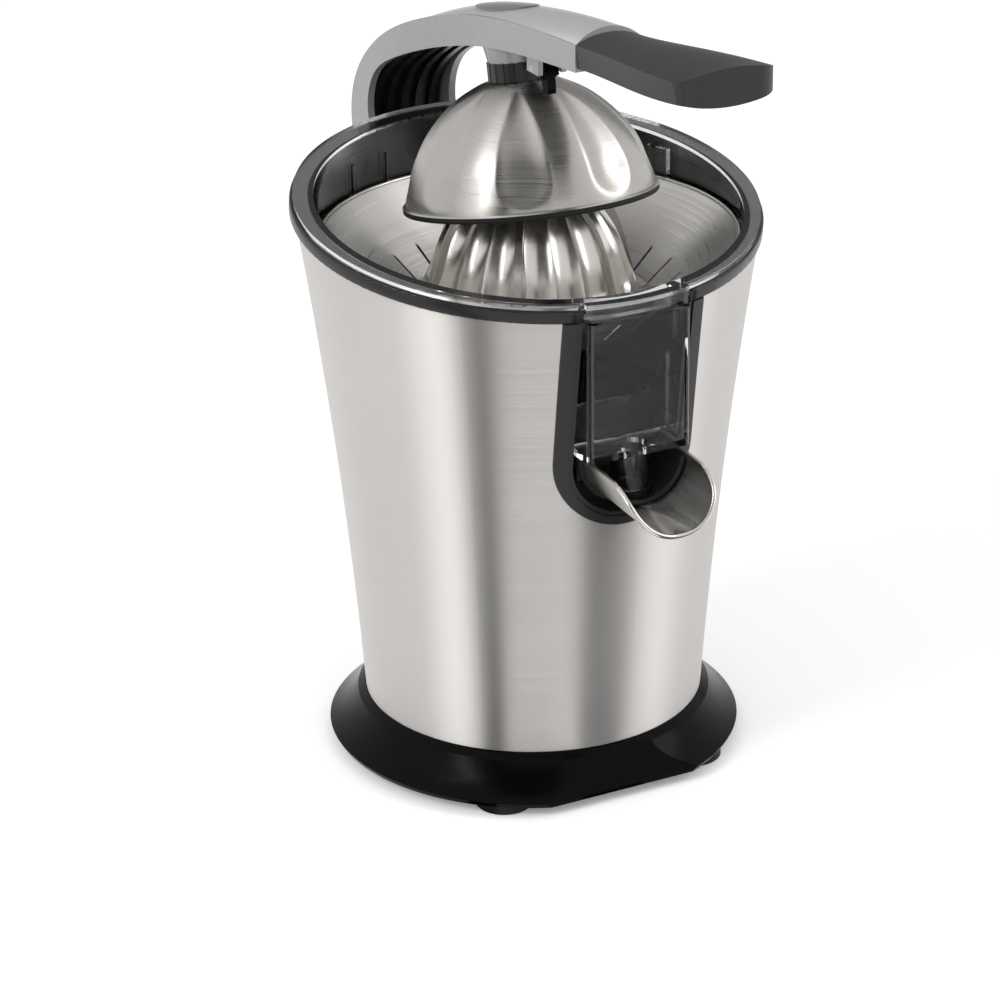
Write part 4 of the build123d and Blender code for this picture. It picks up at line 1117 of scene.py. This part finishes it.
# ---------------------------------------------------------------- studio
@dataclass
class Studio:
    """Camera, lights, cards, floor and background.

    Attributes:
        azimuth: camera direction round the juicer, in degrees.
        elevation: camera height angle, in degrees.
        roll: camera roll, in degrees.
        distance: metres from the aim to the camera.
        focal_px: focal length in pixels of an image 1000 wide.
        offset_x_px: the aim's place right of the image centre.
        offset_y_px: the aim's place below the image centre.
        aim: the point that the camera faces.
        image_px: image width.
        sensor_mm: sensor width, which only sets how the lens is counted.
        body_r: radius of the steel body that the cards are laid out round.
        glow: light added to the floor where it is seen, so that it is white.
        far_glow: the same far away, where the lamps don't reach.
        far: metres from the axis where the floor starts to take that light, and has all of it.
        floor_half: half the floor's width in metres.
        surround: strength of the world's soft light on the juicer.
        lift: metres between the floor and the cards that lie on it.
        lamp_aim: the point that the lamps face.
    """

    azimuth: float = -26.88
    elevation: float = 23.94
    roll: float = -0.74
    distance: float = 1.55388
    focal_px: float = 3774.67
    offset_x_px: float = 31.17
    offset_y_px: float = -39.12
    aim: Vector = field(default_factory=lambda: Vector((0.0, 0.0, 0.118)))
    image_px: float = 1000.0
    sensor_mm: float = 36.0
    body_r: float = 0.08
    glow: float = 0.2
    far_glow: float = 0.32
    far: tuple[float, float] = (0.9, 1.8)
    floor_half: float = 8.0
    surround: float = 0.75
    lift: float = 0.0005
    lamp_aim: Vector = field(default_factory=lambda: Vector((0.0, 0.0, 0.15)))

    def camera(self) -> None:
        """Create the camera."""
        a, e, r = (math.radians(v) for v in (self.azimuth, self.elevation, self.roll))
        back = Vector((math.sin(a) * math.cos(e), -math.cos(a) * math.cos(e), math.sin(e)))
        side = Vector((0, 0, 1)).cross(back).normalized()
        rise = back.cross(side)
        right = side * math.cos(r) + rise * math.sin(r)
        up = rise * math.cos(r) - side * math.sin(r)
        data = bpy.data.cameras.new("camera")
        data.sensor_width = self.sensor_mm
        data.lens = self.focal_px * data.sensor_width / self.image_px
        camera = bpy.data.objects.new("camera", data)
        turn = Matrix((right, up, back)).transposed().to_4x4()
        shift = right * (-self.offset_x_px * self.distance / self.focal_px)
        lift = up * (self.offset_y_px * self.distance / self.focal_px)
        camera.matrix_world = Matrix.Translation(self.aim + back * self.distance + shift + lift) @ turn
        bpy.context.scene.collection.objects.link(camera)
        bpy.context.scene.camera = camera

    def stage(
        self, name: str, bm: bmesh.types.BMesh, material: bpy.types.Material
    ) -> bpy.types.Object:
        """Make a stage object, which isn't part of the juicer.

        Args:
            name: its name.
            bm: its mesh, which is freed.
            material: its material.

        Returns:
            The object.
        """
        mesh = bpy.data.meshes.new(name)
        bm.to_mesh(mesh)
        bm.free()
        mesh.materials.append(material)
        made = bpy.data.objects.new(name, mesh)
        bpy.context.scene.collection.objects.link(made)
        made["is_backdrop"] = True
        return made

    def floor(self) -> None:
        """Lay the white floor under the feet, which keeps the juicer's shadow."""
        g = Graph(bpy.data.materials.new("studio_floor"))
        matt = g.add("BsdfDiffuse", Color=linear("FAFAFA"))
        spot = g.add("TexCoord")
        reach = g.add("VectorMath", {"operation": "LENGTH"}, in0=spot.outputs["Object"])
        rise = g.add(
            "MapRange",
            Value=reach.outputs["Value"],
            From_Min=self.far[0],
            From_Max=self.far[1],
            To_Min=self.glow,
            To_Max=self.far_glow,
        )
        lift = g.add("Math", {"operation": "MULTIPLY"}, in0=g.seen(), in1=rise.outputs["Result"])
        glow = g.add("Emission", Color=WHITE, Strength=lift.outputs["Value"])
        both = g.add("AddShader", in0=matt.outputs["BSDF"], in1=glow.outputs["Emission"])
        bm = bmesh.new()
        place = Matrix.Translation((0, 0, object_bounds()[0][2]))
        bmesh.ops.create_grid(bm, x_segments=1, y_segments=1, size=self.floor_half, matrix=place)
        self.stage("floor", bm, g.finish(both))

    def card(
        self,
        name: str,
        span: tuple[float, float],
        lying: float | None,
        upright: tuple[float, float, float],
        tone: float,
    ) -> None:
        """Set up a card that only the metal reflects, as a band between two places on the body.

        Args:
            name: the card's name.
            span: where the band starts and ends on the body, in degrees right of the camera.
            lying: metres from the body to where the part on the floor starts, or None for no such part.
            upright: metres from the body to the upright part, and the heights of its edges.
            tone: its brightness, where one is white.
        """
        g = Graph(bpy.data.materials.new(f"{name}_paper"))
        paper = g.finish(g.add("Emission", Color=WHITE, Strength=tone))
        far, low, high = upright
        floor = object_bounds()[0][2] + self.lift
        corners = [(far, max(low, floor)), (far, high)]
        if lying is not None:
            corners = [(lying, floor), *corners]
        rows = []
        bm = bmesh.new()
        for reach, z in corners:
            row = []
            for angle in span:
                face, away = (math.radians(self.azimuth + k * angle) for k in (1, 2))
                start = Vector((math.sin(face), -math.cos(face), 0.0)) * self.body_r
                end = start + Vector((math.sin(away), -math.cos(away), 0.0)) * reach
                row.append(bm.verts.new((end.x, end.y, z)))
            rows.append(row)
        for first, second in zip(rows, rows[1:]):
            bm.faces.new((first[0], first[1], second[1], second[0]))
        card = self.stage(name, bm, paper)
        card.visible_camera = False
        card.visible_diffuse = False
        card.visible_shadow = False
        card.visible_transmission = False

    def softbox(self, name: str, place: Vector, size: tuple[float, float], power: float) -> None:
        """Hang one area light that faces the juicer.

        Args:
            name: the light's name.
            place: where it hangs, in metres.
            size: width and height in metres.
            power: watts.
        """
        data = bpy.data.lights.new(name, "AREA")
        data.shape = "RECTANGLE"
        data.size, data.size_y = size
        data.energy = power
        lamp = bpy.data.objects.new(name, data)
        lamp.location = place
        lamp.rotation_mode = "QUATERNION"
        lamp.rotation_quaternion = (self.lamp_aim - place).to_track_quat("-Z", "Y")
        lamp.visible_camera = False
        bpy.context.scene.collection.objects.link(lamp)

    def world(self) -> None:
        """Give a white background and a soft surround."""
        world = bpy.data.worlds.new("studio")
        bpy.context.scene.world = world
        g = Graph(world, "OutputWorld")
        soft = g.add("Background", Color=WHITE, Strength=self.surround)
        white = g.add("Background", Color=WHITE, Strength=1.0)
        both = g.add(
            "MixShader", Fac=g.seen(), in1=soft.outputs["Background"], in2=white.outputs["Background"]
        )
        g.finish(both)

    def build(self) -> None:
        """Set up the whole studio."""
        self.camera()
        self.floor()
        self.world()
        self.softbox("key", place=Vector((-1.78, -0.25, 1.3)), size=(0.8, 1.2), power=17.0)
        self.softbox("fill", place=Vector((1.5, -0.9, 1.1)), size=(0.7, 1.4), power=8.0)
        self.card("card_left", span=(-18.5, -10.5), lying=0.0, upright=(0.5, 0.0, 1.0), tone=0.03)
        self.card("card_right", span=(16.0, 33.0), lying=0.0, upright=(0.5, 0.0, 0.1), tone=0.1)
        self.card("card_back", span=(-17.5, 9.0), lying=None, upright=(0.6, 0.4, 1.8), tone=0.1)
        self.card("card_rear", span=(72.0, 108.0), lying=None, upright=(1.0, 0.25, 1.5), tone=0.35)
        self.card("card_side", span=(-38.0, -26.0), lying=0.12, upright=(0.5, 0.0, 0.6), tone=0.9)


def main() -> None:
    """Build the scene."""
    logging.basicConfig(level=logging.INFO, format="%(name)s %(message)s")
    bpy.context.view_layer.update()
    bpy.context.scene.view_settings.view_transform = "Standard"
    paints = Paints()
    for group in (Housing(), JuicePath(), Lever(), Dome(), Drive()):
        log.info("sub-assembly %s", type(group).__name__)
        group.build(paints)
    Studio().build()


if __name__ == "__main__":
    main()
